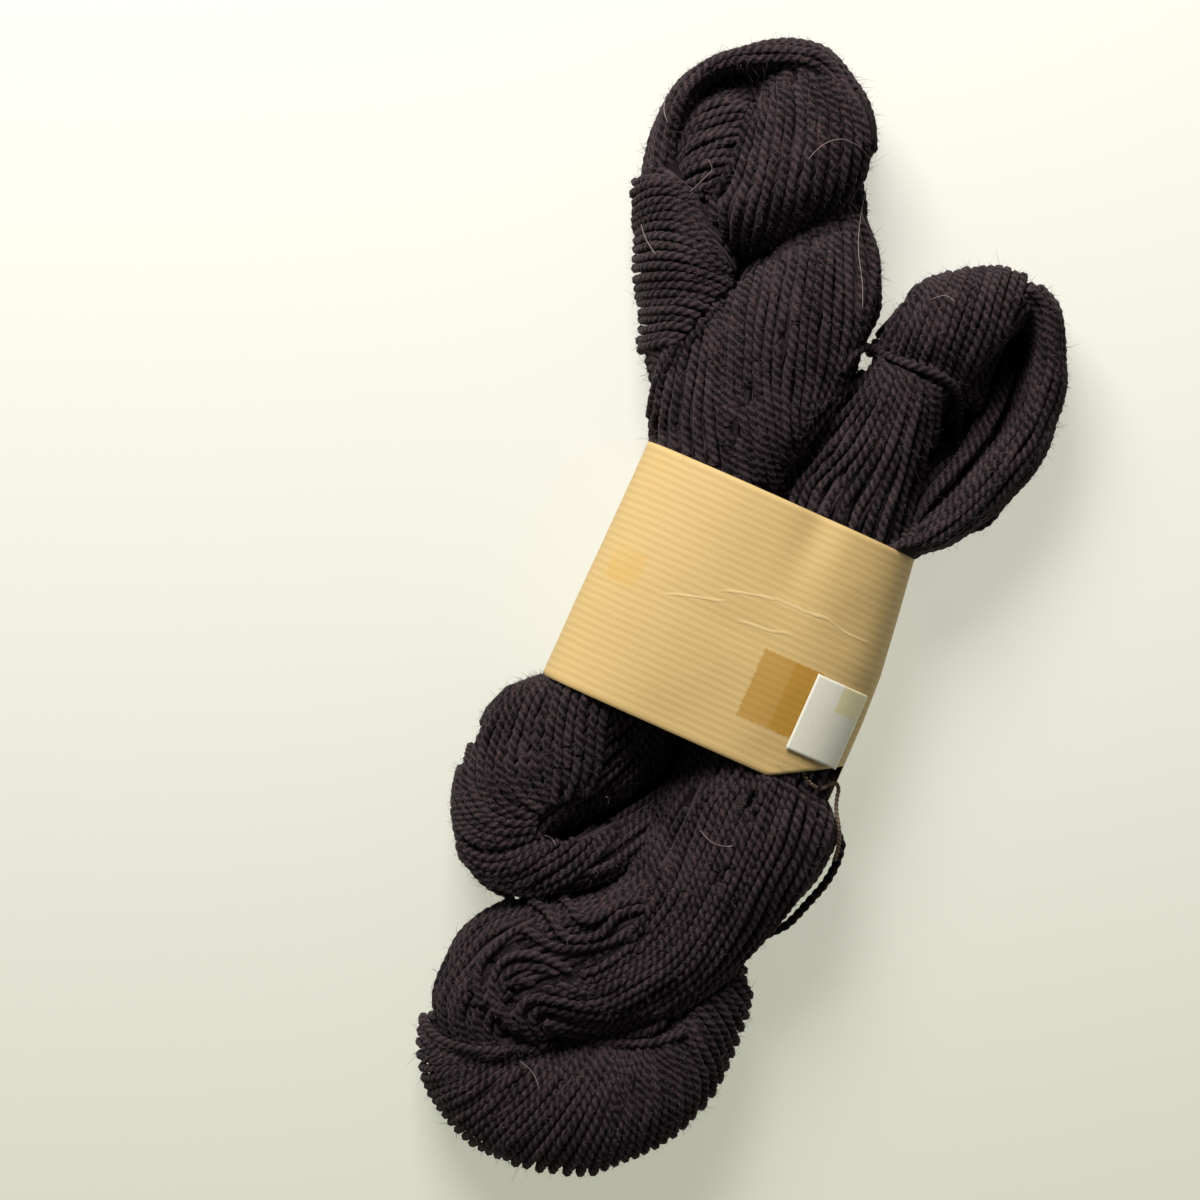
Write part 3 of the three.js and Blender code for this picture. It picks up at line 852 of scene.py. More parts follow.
# %% Ties
NECK_TIE_ROUTE = [
    (1.4, 70, 31.4),
    (2.8, 71.9, 30),
    (4.4, 73.3, 28.2),
    (6.4, 74, 27.6),
    (8.8, 73.7, 29.8),
    (12, 73.2, 34.6),
    (16, 73.1, 38.2),
    (20, 73.4, 39),
    (24, 73.6, 37.8),
    (27.6, 72.8, 34),
    (30.2, 71.3, 29),
    (31.9, 68.8, 24),
    (33.4, 66, 19.4),
    (35, 63.2, 16),
    (36.8, 60.2, 14.6),
]
BROWN_THREAD_ROUTE = [
    (31.8, -28.8, 33.6),
    (33.4, -30.2, 33.4),
    (35.4, -31.2, 32.4),
    (37.4, -31.5, 30),
    (39, -30.7, 27.6),
    (40.2, -29.3, 25.9),
    (41.6, -28.7, 24.7),
    (42.8, -29.8, 23.8),
    (43.3, -31.8, 23.6),
    (44, -34, 23.8),
    (45.1, -36, 23.9),
    (46.6, -38.2, 23.5),
    (47.9, -40.6, 22.4),
    (48.9, -43.6, 20.8),
    (49.4, -46.8, 19),
]
THREAD = 1.2
ROUTE_POINTS = 30
TIE_LEAN = np.array([0.3, 0.2, 0])
TIE_TONE = 0.5


def route_line(route, step):
    """A smooth line through a route's points, in even steps, and directions up out of it."""
    fine = smooth_rows(route, np.linspace(0, len(route) - 1, ROUTE_POINTS * len(route)))
    line = even_steps(fine, np.tile([0.0, 0.0, 1.0], (len(fine), 1)), step)
    return line[:, :3], line[:, 3:6]


def make_cord(name, route, thickness, node, material):
    """A tie of plied yarn along a route, in place of the imported part of that name."""
    scale = thickness / YARN
    step = STEP * scale
    points, outward = route_line(route, step)
    run = Runs()
    run.add(points, outward + TIE_LEAN, TIE_TONE, 0)
    vertices, quads, caps, uv, tones = tube(run, PLY_RADII * scale, step, PLY_PITCH * scale)
    piece = finish_piece(make_mesh(name, vertices, quads, caps, uv, tones), material)
    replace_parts(piece, node)


make_cord("tied_yarn", NECK_TIE_ROUTE, YARN, "neck_tie", wool)
make_cord("thin_thread", BROWN_THREAD_ROUTE, THREAD, "brown_thread", brown_wool)

# %% [markdown]
# ## What the band presses and hides
# The paper band squeezes the hanks where they enter it, so the yarn is pulled inside the band's
# section there. The paper could instead be made wide enough for all of it, but then it would stand
# off the hanks, and on the real skein it is tight.

# %% Yarn in the band
# along, left, right, crown
BAND_ROWS = np.array([
    (-33.6, -36.4, 42, 40.4),
    (-12, -36.3, 41.8, 40.8),
    (0, -36.1, 41.2, 40.8),
    (15, -35.9, 39.2, 40.4),
    (30.2, -35.8, 37, 40),
])
BAND_FULLNESS = 2.7
BAND_EDGE_HEIGHT = 18
BAND_LOW, BAND_HIGH = -33.6, 30.2
PAPER_CLEARANCE = 1.6
BAND_FLARE = 1.1


def band_sides(y):
    """The band's left side, right side and crown at each place along it."""
    return [np.interp(y, BAND_ROWS[:, 0], BAND_ROWS[:, column]) for column in (1, 2, 3)]


def pinch(points):
    """Pulls yarn inside the paper where it enters the band: a point outside the band's inner
    section is moved to it, and beyond the band's edges that section soon grows wider."""
    beyond = np.maximum(BAND_LOW - points[:, 1], points[:, 1] - BAND_HIGH)
    slack = np.maximum(beyond, 0) * BAND_FLARE - PAPER_CLEARANCE
    left, right, crown = band_sides(points[:, 1])
    middle, reach = (left + right) / 2, (right - left) / 2 + slack
    across = (points[:, 0] - middle) / reach
    rise = points[:, 2] - BAND_EDGE_HEIGHT
    up = np.maximum(rise, 0) / (crown - BAND_EDGE_HEIGHT + slack)
    out = (np.abs(across) ** BAND_FULLNESS + up**BAND_FULLNESS) ** (1 / BAND_FULLNESS)
    out = np.maximum(out, 1)
    points[:, 0] = middle + (points[:, 0] - middle) / out
    points[:, 2] = np.where(up > 0, BAND_EDGE_HEIGHT + rise / out, points[:, 2])
    return points


print("band", BAND_HIGH - BAND_LOW, "mm wide")

# %% [markdown]
# Yarn that lies hidden, well under the band or too deep, is cut away: it would only cost time. Yarn
# on the underside is a plainer tube, because it only shows when the skein is turned over.

# %% What is kept of a strand
BAND_COVER = 6
TURNED_X, TURNED_COVER = 20, -16
SHORTEST_RUN = 5
UNDERSIDE = 3.2
PLAIN_STEPS = 3
DEEPEST_DIVE = 0.97
FACING_DOWN = -0.3
COVER_DEPTH = 6


def covered(points, y):
    """Whether a point is hidden: deep inside, or well under the paper band."""
    x = points[:, 0]
    low = np.where(x > TURNED_X, TURNED_COVER, BAND_LOW + BAND_COVER)
    return hidden[cell_of(points)] | ((y > low) & (y < BAND_HIGH - BAND_COVER))


def split_runs(keep, shortest):
    """Starts and ends of the stretches that are kept, if they are long enough."""
    edges = np.flatnonzero(np.diff(np.concatenate([[False], keep, [False]])))
    pairs = edges.reshape(-1, 2)
    return pairs[pairs[:, 1] - pairs[:, 0] >= shortest]


def collect(strands, random, fine, plain):
    """Sorts what shows of each strand into fine yarn, and plain yarn on the underside or under a
    top layer."""
    for points, outward, dive in zip(*strands):
        line = even_steps(pinch(push(points)), outward, STEP, dive, points)
        spots, facing, depth, unmoved = line[:, :3], line[:, 5], line[:, 6], line[:, 7:10]
        seen = ~covered(unmoved, spots[:, 1]) & (depth < DEEPEST_DIVE)
        under = (spots[:, 2] < UNDERSIDE) & (facing < FACING_DOWN)
        under |= under_cover[map_cell(spots)] & (spots[:, 2] > top_height(spots) - COVER_DEPTH)
        tone, phase = random.uniform(0, 1), random.uniform(0, 2 * np.pi)
        for first, last in split_runs(seen & ~under, SHORTEST_RUN):
            first, last = max(first - 1, 0), min(last + 1, len(line))
            fine.add(line[first:last, :3], line[first:last, 3:6], tone, phase)
        for first, last in split_runs(seen & under, SHORTEST_RUN):
            part = line[max(first - 1, 0):last + 1:PLAIN_STEPS]
            plain.add(part[:, :3], part[:, 3:6], tone, phase)


def make_yarn(name, runs, radii, step, pitch):
    """A piece of yarn from all the runs."""
    vertices, quads, caps, uv, tones = tube(runs, radii, step, pitch)
    piece = finish_piece(make_mesh(name, vertices, quads, caps, uv, tones), wool)
    count = 2 * len(quads) + len(caps)
    print(name, len(runs.lengths), "runs", round(runs.metres(step), 1), "m", count, "triangles")
    return count


# %% [markdown]
# ## From the photo to the table
# The top layers of yarn lie loose and wavy. Their strands are drawn by guides: places along a few
# of them, read off the photo in its pixels. A place in the photo becomes a place on the
# table's plan, and a route of such places is draped over the hank.

# %% Places in the photo
PHOTO_SCALE = 0.25
PHOTO_CENTRE = 600
HIGHEST_TOP = 36.0
SLOPE_REACH = 1.5


def photo_place(pixels, height):
    """Where a place in the photo lies on the table plan, in millimetres: its offset from the
    picture's middle, smaller the nearer it is to the camera, turned by the camera's turn."""
    pixels = np.asarray(pixels, float)
    nearer = 1 - (height / 1000 - PICTURE_CENTRE[2]) / CAMERA_DISTANCE
    right = (pixels[..., 0] - PHOTO_CENTRE) * PHOTO_SCALE * nearer
    up = (PHOTO_CENTRE - pixels[..., 1]) * PHOTO_SCALE * nearer
    cos, sin = np.cos(CAMERA_TURN), np.sin(CAMERA_TURN)
    x = right * cos - up * sin + 1000 * PICTURE_CENTRE[0]
    y = right * sin + up * cos + 1000 * PICTURE_CENTRE[1]
    return np.stack([x, y], -1)


print("middle of the photo at", photo_place((PHOTO_CENTRE, PHOTO_CENTRE), 20).round(1), "mm")


def drape(pixels, lift, taut=5):
    """A line over the hanks from a route in the photo: points and outward directions. Its height
    is the top's, evened out as a taut strand evens it, plus the lift."""
    height = np.full(len(pixels), HIGHEST_TOP)
    window = np.hanning(2 * taut + 1)
    for _ in range(3):
        flat = photo_place(pixels, height)
        height = top_height(flat)
        height = np.convolve(np.pad(height, taut, mode="edge"), window / window.sum(), "valid")
    points = np.column_stack([flat, height + lift])
    east = top_height(flat + [SLOPE_REACH, 0]) - top_height(flat - [SLOPE_REACH, 0])
    north = top_height(flat + [0, SLOPE_REACH]) - top_height(flat - [0, SLOPE_REACH])
    span = 2 * SLOPE_REACH
    return points, unit(np.column_stack([-east / span, -north / span, np.ones(len(flat))]))


# %% [markdown]
# ## Sheaves
# A sheaf is a group of strands of a top layer. Where one of its strands reaches the outline of the
# skein, the real one goes on down the side, and a cut end there would look like a tooth. So the
# strand is led on by an arc over the side. The map remembers which places the top layers cover.

# %% Over the side
SIDE_REACH = 9
SIDE_LOWEST = 9
SIDE_TURN = 2.4
SIDE_INSET = 2.2
OUTSIDE = 3
LOOK_STEP = 0.5
SHORTEST_REACH = 0.6
TURN_START, TURN_POINTS = 0.3, 9
COVER_REACH = 1.5


def mark_covered(points):
    """Marks the map's cells that a top layer covers: all cells near its points."""
    shifts = np.arange(-COVER_REACH, COVER_REACH + 0.1, MAP_CELL)
    for shift_x in shifts:
        for shift_y in shifts:
            under_cover[map_cell(points + [shift_x, shift_y, 0])] = True


def turn_down(points, outward):
    """The same strand with its end led over the hank's side, if the outline is near: an arc out to
    the outline, then down and a little back in."""
    heading = unit((points[-1] - points[-4]) * [1, 1, 0])
    ahead = np.arange(LOOK_STEP, SIDE_REACH, LOOK_STEP)
    outside = top_height(points[-1, :2] + ahead[:, None] * heading[:2]) < OUTSIDE
    in_band = BAND_LOW - BAND_COVER < points[-1, 1] < BAND_HIGH + BAND_COVER
    if in_band or not outside.any():
        return points, outward
    reach = max(ahead[outside.argmax()] - SIDE_INSET, SHORTEST_REACH)
    drop = (points[-1, 2] - SIDE_LOWEST) / (1 - np.cos(SIDE_TURN))
    turn = np.linspace(TURN_START, SIDE_TURN, TURN_POINTS)[:, None]
    up = np.array([0, 0, 1])
    arc = points[-1] + reach * np.sin(turn) * heading - drop * (1 - np.cos(turn)) * up
    return np.vstack([points, arc]), np.vstack([outward, np.sin(turn) * heading + np.cos(turn) * up])


# %% [markdown]
# Every strand of a top layer could be drawn by hand. But neighbours are much alike, so a few guides
# are enough, and the strands between two guides are blends of both.

# %% A sheaf of strands
LOWEST_TOP = 16
LOWEST_SHEAF = 12
SHORTEST_GAP = 12
STATION_POINTS = 16
CROWD_DROP, CROWD_FADE = 5, 0.16
NEVER = 2


def lay_sheaf(guides, strand_count, random, lift, dip, crowd):
    """The strands of a sheaf: so many blends of its guides. Some lie lower than others, by up to
    the dip. Every other one dives and ends at a share of the way, where the strands crowd. The
    stretch inside the band is left out, and short gaps in the rest are closed."""
    runs = Runs()
    guides = np.asarray(guides, float)
    count, stations, _ = guides.shape
    flat = guides.reshape(count, -1)
    strands = smooth_rows(flat, np.linspace(0, count - 1, strand_count))
    for number, strand in enumerate(strands.reshape(-1, stations, 2)):
        route = smooth_rows(strand, np.linspace(0, stations - 1, STATION_POINTS * stations))
        run = along(route) * PHOTO_SCALE
        route = route + slow_waves(random, 2, run, wavelength=30, size=0.9)
        share = np.linspace(0, 1, len(route))
        end = crowd + 0.1 * random.uniform(0, 1) if number % 2 else NEVER
        below = dip * random.uniform(0, 1) + CROWD_DROP * smooth_step((share - end) / CROWD_FADE)
        waves = slow_waves(random, 1, run, wavelength=24, size=0.45)[:, 0]
        points, outward = drape(route, lift - below + waves)
        points, outward = (part[share < end + CROWD_FADE] for part in (points, outward))
        line = even_steps(pinch(points), outward, STEP)
        keep = ~((line[:, 1] > BAND_LOW + BAND_COVER) & (line[:, 1] < BAND_HIGH - BAND_COVER))
        keep &= (top_height(line[:, :2]) > LOWEST_TOP) & (line[:, 2] > LOWEST_SHEAF)
        for first, last in split_runs(~keep, 1):
            short_gap = first > 0 and last < len(keep) and last - first < SHORTEST_GAP
            if short_gap and line[first:last, 2].min() > LOWEST_SHEAF:
                keep[first:last] = True
        for first, last in split_runs(keep, SHORTEST_RUN):
            points, outward = turn_down(line[first:last, :3], line[first:last, 3:6])
            points, outward = turn_down(points[::-1], outward[::-1])
            part = even_steps(pinch(points[::-1]), outward[::-1], STEP)
            runs.add(part[:, :3], part[:, 3:6], random.uniform(0, 1), random.uniform(0, 2 * np.pi))
    return runs


# %% [markdown]
# The guides stand here. Each is a list of x and y in the photo's pixels, from one end of its strand
# to the other. Neighbouring guides of a sheaf lie side by side.

# %% Guides of the top layers
FOLD_GUIDES = [
    [(733, 755), (722, 776), (700, 802), (683, 835), (670, 868), (655, 900), (636, 927), (607, 943),
     (576, 949), (550, 946), (521, 929), (499, 943), (480, 965), (478, 990), (484, 1012)],
    [(745, 756), (735, 777), (712, 803), (697, 838), (684, 872), (668, 905), (645, 935), (612, 961),
     (580, 974), (553, 962), (526, 954), (504, 962), (493, 980), (492, 1000), (500, 1020)],
    [(754, 757), (745, 778), (728, 806), (713, 840), (698, 874), (682, 908), (655, 945), (618, 974),
     (583, 988), (553, 972), (526, 967), (508, 973), (498, 988), (500, 1008), (510, 1026)],
    [(765, 758), (757, 779), (742, 808), (728, 842), (712, 877), (695, 912), (665, 953), (625, 980),
     (588, 998), (550, 990), (522, 981), (506, 986), (500, 1000), (505, 1018), (518, 1034)],
    [(777, 758), (770, 779), (756, 810), (742, 845), (727, 880), (708, 917), (676, 962), (636, 990),
     (595, 1008), (556, 1001), (533, 997), (520, 1006), (519, 1020), (526, 1034), (538, 1042)],
    [(792, 756), (785, 777), (772, 812), (758, 848), (742, 884), (722, 922), (690, 968), (648, 1000),
     (605, 1017), (568, 1013), (545, 1008), (533, 1014), (532, 1024), (538, 1033), (546, 1038)],
    [(806, 753), (800, 774), (788, 812), (775, 850), (757, 888), (737, 928), (702, 977), (660, 1010),
     (618, 1027), (584, 1028), (563, 1025), (552, 1024), (548, 1027), (550, 1032), (555, 1034)],
    [(826, 750), (822, 771), (812, 812), (800, 852), (780, 892), (758, 932), (722, 975), (682, 1005),
     (640, 1025), (600, 1036), (580, 1036), (570, 1036), (565, 1036), (562, 1036), (560, 1036)],
    [(843, 755), (840, 780), (832, 815), (819, 855), (799, 893), (774, 925), (745, 958), (713, 985),
     (680, 1008), (645, 1030), (615, 1038), (595, 1039), (580, 1039), (570, 1038), (564, 1037)],
]
FAN_GUIDES = [
    [(530, 1049), (510, 1050), (482, 1050), (453, 1045), (434, 1035), (423, 1018)],
    [(534, 1050), (515, 1051), (489, 1054), (458, 1059), (434, 1052), (420, 1037)],
    [(538, 1050), (511, 1050), (489, 1057), (470, 1064), (446, 1070), (424, 1070)],
    [(542, 1047), (520, 1047), (501, 1054), (480, 1069), (458, 1083), (431, 1092)],
    [(552, 1045), (540, 1052), (518, 1064), (489, 1083), (466, 1100), (441, 1112)],
    [(565, 1044), (554, 1050), (535, 1069), (506, 1090), (482, 1112), (455, 1131)],
    [(575, 1044), (566, 1052), (547, 1076), (523, 1100), (501, 1124), (475, 1148)],
    [(590, 1044), (583, 1052), (564, 1081), (544, 1107), (518, 1134), (494, 1160)],
    [(606, 1044), (600, 1054), (583, 1083), (564, 1112), (544, 1138), (521, 1165)],
    [(618, 1044), (614, 1057), (604, 1086), (590, 1114), (573, 1143), (553, 1172)],
    [(632, 1043), (628, 1059), (621, 1083), (614, 1114), (602, 1146), (588, 1173)],
    [(642, 1042), (638, 1060), (632, 1083), (632, 1110), (626, 1138), (616, 1164)],
    [(652, 1040), (652, 1056), (652, 1080), (655, 1105), (650, 1128), (643, 1150)],
    [(662, 1037), (664, 1052), (671, 1074), (675, 1100), (673, 1122), (666, 1139)],
    [(674, 1030), (680, 1044), (689, 1064), (695, 1085), (694, 1106), (690, 1124)],
    [(688, 1018), (698, 1032), (709, 1052), (715, 1072), (714, 1092), (711, 1104)],
    [(704, 1004), (714, 1016), (724, 1035), (730, 1055), (731, 1071), (728, 1080)],
    [(722, 990), (731, 1000), (741, 1016), (745, 1032), (746, 1044), (743, 1054)],
    [(735, 978), (742, 984), (748, 995), (751, 1005), (752, 1015), (751, 1026)],
]
LOBE_GUIDES = [
    [(613, 690), (605, 706), (602, 722), (600, 740), (600, 756), (598, 770), (593, 782), (586, 792),
     (580, 800)],
    [(598, 682), (590, 698), (586, 716), (584, 735), (583, 752), (580, 768), (576, 782), (571, 794),
     (567, 804)],
    [(583, 677), (575, 693), (570, 712), (567, 732), (566, 750), (565, 768), (563, 783), (560, 795),
     (558, 806)],
    [(570, 671), (562, 687), (556, 708), (552, 730), (549, 750), (549, 768), (550, 784), (551, 797),
     (552, 808)],
    [(560, 667), (552, 683), (543, 704), (536, 728), (531, 750), (530, 770), (534, 787), (541, 800),
     (548, 810)],
    [(552, 664), (543, 680), (528, 702), (518, 728), (512, 752), (511, 773), (518, 792), (530, 805),
     (545, 813)],
    [(546, 664), (536, 680), (514, 704), (502, 730), (495, 755), (495, 778), (504, 799), (522, 812),
     (543, 817)],
    [(540, 666), (530, 680), (503, 706), (487, 734), (479, 760), (479, 785), (492, 807), (515, 819),
     (541, 821)],
    [(536, 668), (524, 681), (495, 708), (476, 738), (467, 765), (466, 792), (481, 815), (508, 827),
     (540, 825)],
    [(530, 672), (516, 684), (489, 712), (468, 744), (459, 775), (458, 803), (474, 826), (502, 836),
     (540, 830)],
    [(522, 678), (508, 690), (482, 720), (462, 752), (456, 785), (457, 815), (470, 838), (500, 846),
     (541, 834)],
]
LOBE_LOW_GUIDES = [
    [(457, 795), (456, 815), (459, 835), (469, 850), (485, 858), (505, 858), (526, 849), (545, 838)],
    [(457, 825), (461, 845), (470, 859), (482, 868), (498, 871), (516, 866), (535, 854), (553, 842)],
    [(466, 858), (473, 868), (482, 876), (496, 880), (516, 877), (537, 866), (558, 853), (576, 838)],
    [(480, 874), (490, 882), (503, 887), (520, 888), (541, 881), (562, 868), (583, 852), (600, 834)],
    [(500, 886), (512, 891), (528, 893), (546, 890), (566, 880), (586, 865), (604, 848), (618, 828)],
]
NECK_GUIDES = [
    [(668, 352), (659, 372), (653, 392), (650, 412), (648, 430), (647, 446), (640, 462)],
    [(680, 340), (671, 365), (665, 388), (662, 410), (660, 432), (660, 452), (655, 468)],
    [(697, 325), (690, 350), (684, 378), (680, 402), (678, 428), (679, 458), (676, 474)],
    [(712, 306), (708, 335), (703, 366), (699, 398), (699, 430), (702, 466), (701, 482)],
    [(720, 300), (719, 330), (716, 362), (716, 395), (720, 430), (724, 474), (725, 490)],
    [(738, 288), (731, 318), (727, 350), (726, 385), (731, 425), (742, 482), (744, 498)],
    [(752, 275), (745, 308), (741, 345), (740, 380), (746, 425), (757, 488), (760, 504)],
    [(770, 262), (762, 300), (757, 340), (756, 380), (762, 430), (772, 494), (775, 508)],
    [(790, 258), (780, 298), (774, 340), (772, 385), (776, 435), (783, 480), (787, 500)],
    [(808, 252), (800, 300), (795, 345), (790, 390), (788, 430), (792, 462), (797, 480)],
    [(823, 243), (817, 290), (813, 330), (810, 365), (806, 395), (804, 420), (803, 440)],
    [(835, 235), (836, 280), (834, 315), (830, 350), (824, 380), (816, 405), (810, 424)],
    [(848, 226), (853, 268), (852, 308), (847, 345), (840, 372), (830, 395), (820, 412)],
    [(858, 215), (872, 248), (872, 285), (863, 325), (856, 352), (847, 375), (836, 395)],
]
BULB_GUIDES = [
    [(755, 103), (745, 125), (738, 150), (725, 178), (713, 205), (716, 228)],
    [(764, 102), (754, 128), (747, 155), (737, 185), (726, 215), (727, 245)],
    [(772, 98), (765, 126), (758, 156), (750, 188), (741, 220), (737, 256)],
    [(778, 92), (776, 122), (771, 155), (763, 190), (754, 225), (747, 260)],
    [(788, 88), (788, 120), (784, 155), (777, 190), (768, 225), (758, 256)],
    [(797, 83), (801, 116), (798, 152), (791, 190), (782, 222), (770, 250)],
    [(806, 80), (814, 112), (813, 150), (806, 188), (797, 218), (784, 242)],
    [(815, 77), (827, 108), (829, 148), (822, 185), (812, 212), (799, 234)],
    [(823, 76), (840, 106), (844, 145), (838, 182), (828, 206), (815, 226)],
    [(831, 79), (851, 107), (857, 142), (852, 177), (842, 200), (830, 217)],
    [(838, 84), (860, 112), (867, 143), (862, 172), (853, 192), (845, 207)],
]
WRAP_GUIDES = [
    [(633, 184), (645, 178), (662, 177), (680, 183), (692, 195), (698, 210)],
    [(638, 196), (652, 188), (670, 187), (686, 195), (697, 212), (703, 232)],
    [(638, 210), (652, 202), (672, 201), (690, 211), (703, 228), (712, 246)],
    [(638, 222), (655, 214), (676, 214), (696, 226), (711, 243), (722, 258)],
    [(637, 236), (655, 229), (678, 231), (700, 241), (716, 255), (728, 266)],
    [(636, 250), (655, 244), (680, 247), (702, 256), (719, 266), (733, 274)],
    [(636, 264), (656, 260), (680, 262), (702, 268), (720, 276), (732, 284)],
    [(638, 278), (657, 276), (680, 277), (700, 281), (716, 287), (726, 292)],
    [(639, 292), (658, 290), (680, 290), (696, 293), (709, 297), (717, 302)],
    [(639, 306), (657, 304), (676, 303), (690, 305), (702, 309), (708, 312)],
    [(640, 320), (655, 317), (671, 316), (684, 318), (694, 321), (699, 323)],
    [(642, 334), (655, 331), (668, 329), (678, 330), (686, 332), (689, 334)],
    [(644, 348), (654, 345), (664, 342), (672, 342), (678, 343), (681, 344)],
]
LOOP_FAN_GUIDES = [
    [(879, 352), (880, 344), (882, 336), (887, 328), (895, 318), (904, 307)],
    [(884, 354), (886, 342), (892, 330), (899, 317), (907, 306), (915, 294)],
    [(893, 358), (898, 342), (905, 325), (912, 308), (920, 296), (928, 283)],
    [(903, 361), (910, 343), (917, 325), (924, 306), (932, 291), (938, 278)],
    [(914, 364), (921, 345), (929, 325), (936, 305), (944, 288), (950, 274)],
    [(926, 369), (933, 349), (941, 327), (948, 306), (956, 287), (963, 272)],
    [(937, 374), (945, 352), (953, 329), (961, 307), (969, 287), (976, 270)],
    [(948, 382), (957, 357), (966, 332), (974, 309), (982, 288), (988, 269)],
    [(956, 390), (968, 362), (978, 336), (987, 311), (994, 289), (1000, 269)],
    [(961, 398), (978, 370), (990, 343), (999, 316), (1006, 292), (1012, 272)],
    [(965, 404), (985, 376), (998, 350), (1009, 320), (1018, 297), (1024, 277)],
]
LOOP_NECK_GUIDES = [
    [(873, 362), (858, 378), (838, 400), (818, 425), (798, 452), (780, 478), (772, 493), (765, 506)],
    [(880, 362), (867, 382), (848, 405), (828, 430), (808, 455), (791, 478), (782, 498), (776, 512)],
    [(888, 364), (876, 386), (860, 412), (842, 438), (822, 462), (803, 484), (795, 504), (790, 518)],
    [(896, 367), (886, 390), (873, 418), (856, 446), (838, 468), (820, 488), (812, 511), (807, 526)],
    [(905, 370), (897, 395), (886, 424), (873, 452), (856, 476), (840, 498), (832, 520), (827, 535)],
    [(913, 374), (908, 398), (899, 428), (889, 456), (876, 482), (862, 506), (854, 530), (849, 545)],
    [(921, 378), (917, 402), (910, 430), (902, 460), (893, 488), (884, 514), (877, 541), (872, 556)],
    [(930, 382), (927, 408), (922, 436), (916, 464), (909, 492), (902, 520), (896, 550), (891, 565)],
    [(938, 388), (938, 412), (935, 438), (930, 466), (924, 495), (917, 524), (908, 552), (903, 568)],
]
print("guides of the right fold", len(FOLD_GUIDES), "and of its fan", len(FAN_GUIDES))

# %% [markdown]
# Each sheaf is laid and becomes a piece of yarn. Its lift is below 0, so that it sits a little in
# the yarn round it. Where a sheaf narrows, every other strand ends at a share of its way. A share
# of 2 is past the end, so there none of them ends early.

# %% Lay the top layers
# guides, strands, lift, dip, share of the way where every other one ends
SHEAVES = {
    "top_right_fold": (FOLD_GUIDES, 17, -0.1, 1.2, 0.52),
    "top_right_fan": (FAN_GUIDES, 47, -0.9, 0.8, NEVER),
    "top_left_fold": (LOBE_GUIDES, 17, -0.6, 0.7, 0.76),
    "top_left_low": (LOBE_LOW_GUIDES, 7, -0.8, 0.7, NEVER),
    "top_left_neck": (NECK_GUIDES, 23, -0.5, 0.7, NEVER),
    "top_left_bulb": (BULB_GUIDES, 13, -0.6, 0.7, NEVER),
    "top_left_wrap": (WRAP_GUIDES, 20, -0.7, 0.9, NEVER),
    "top_loop_fan": (LOOP_FAN_GUIDES, 16, -0.7, 0.8, NEVER),
    "top_loop_neck": (LOOP_NECK_GUIDES, 14, -0.4, 1.2, NEVER),
}
total = 0
laid = {}
for number, (name, (guides, strand_count, *way)) in enumerate(SHEAVES.items()):
    sheaf = lay_sheaf(guides, strand_count, np.random.default_rng(41 + number), *way)
    mark_covered(np.concatenate(sheaf.points))
    laid[name] = sheaf
    total += make_yarn(name, sheaf, PLY_RADII, STEP, PLY_PITCH)

# %% [markdown]
# ## Strands that lie alone
# A dark strand has slipped out of the band at the lower right and stands off the fold, and one
# has slipped off the open loop's side. A few lie inside the loop, or cross the folds. Each is
# drawn by its own route in the photo's pixels, and those that hang free have their height as well.

# %% Routes of strands that lie alone
# x, y, height over the table in millimetres
FREE_ROUTES = [
    [(822, 776, 22), (838, 798, 16), (844, 815, 13.5), (843, 834, 12.5), (838, 859, 12), (826, 882, 11.5),
     (807, 904, 11), (789, 923, 10.5), (775, 931, 10), (758, 938, 10)],
    [(1006, 482, 12), (1004, 497, 11.5), (995, 514, 11), (981, 526, 11), (958, 531, 11), (934, 530, 11),
     (912, 524, 12)],
    [(664, 372, 14), (658, 386, 13), (654, 402, 12), (652, 420, 11), (652, 440, 11), (648, 456, 11)],
    [(668, 384, 17), (662, 400, 16), (659, 420, 15), (659, 440, 14), (655, 460, 14)],
    [(912, 530, 26), (930, 494, 26), (955, 464, 25), (978, 434, 23), (996, 398, 20), (1007, 358, 15)],
    [(918, 510, 25), (934, 487, 25), (956, 461, 23), (974, 430, 20), (989, 396, 16), (999, 355, 10)],
    [(906, 542, 27), (924, 508, 27), (948, 479, 26), (974, 449, 25), (996, 415, 22), (1011, 374, 17)],
    [(920, 494, 24), (934, 474, 22), (950, 461, 19), (962, 458, 15)],
    [(922, 478, 22), (933, 462, 19), (944, 450, 14)],
]
# x, y
LAID_ROUTES = [
    [(546, 1022), (562, 1031), (590, 1036), (620, 1037), (645, 1033), (660, 1026), (664, 1018), (654, 1011)],
    [(540, 1045), (575, 1042), (620, 1044), (655, 1042), (690, 1030)],
    [(655, 1020), (680, 1008), (699, 997), (722, 980), (736, 970)],
    [(640, 900), (620, 905), (605, 914), (590, 921), (578, 917), (570, 905), (560, 896)],
    [(644, 908), (620, 914), (600, 934), (580, 939), (563, 935), (547, 911), (530, 900)],
    [(842, 372), (850, 358), (861, 349), (868, 347), (876, 350), (884, 362)],
]
print("routes that hang free", len(FREE_ROUTES), "and that lie on the yarn", len(LAID_ROUTES))

# %% [markdown]
# A route that lies on the yarn is draped over the hanks. One that hangs free keeps its own height,
# and only its place in the photo is brought to the table.

# %% Strands that lie alone
ALONE_LIFT = 0.5
ALONE_POINTS = 12


def lay_route(route, lift):
    """A strand of its own over the hanks, from its route in the photo."""
    route = smooth_rows(route, np.linspace(0, len(route) - 1, STATION_POINTS * len(route)))
    return even_steps(*drape(route, lift), STEP)


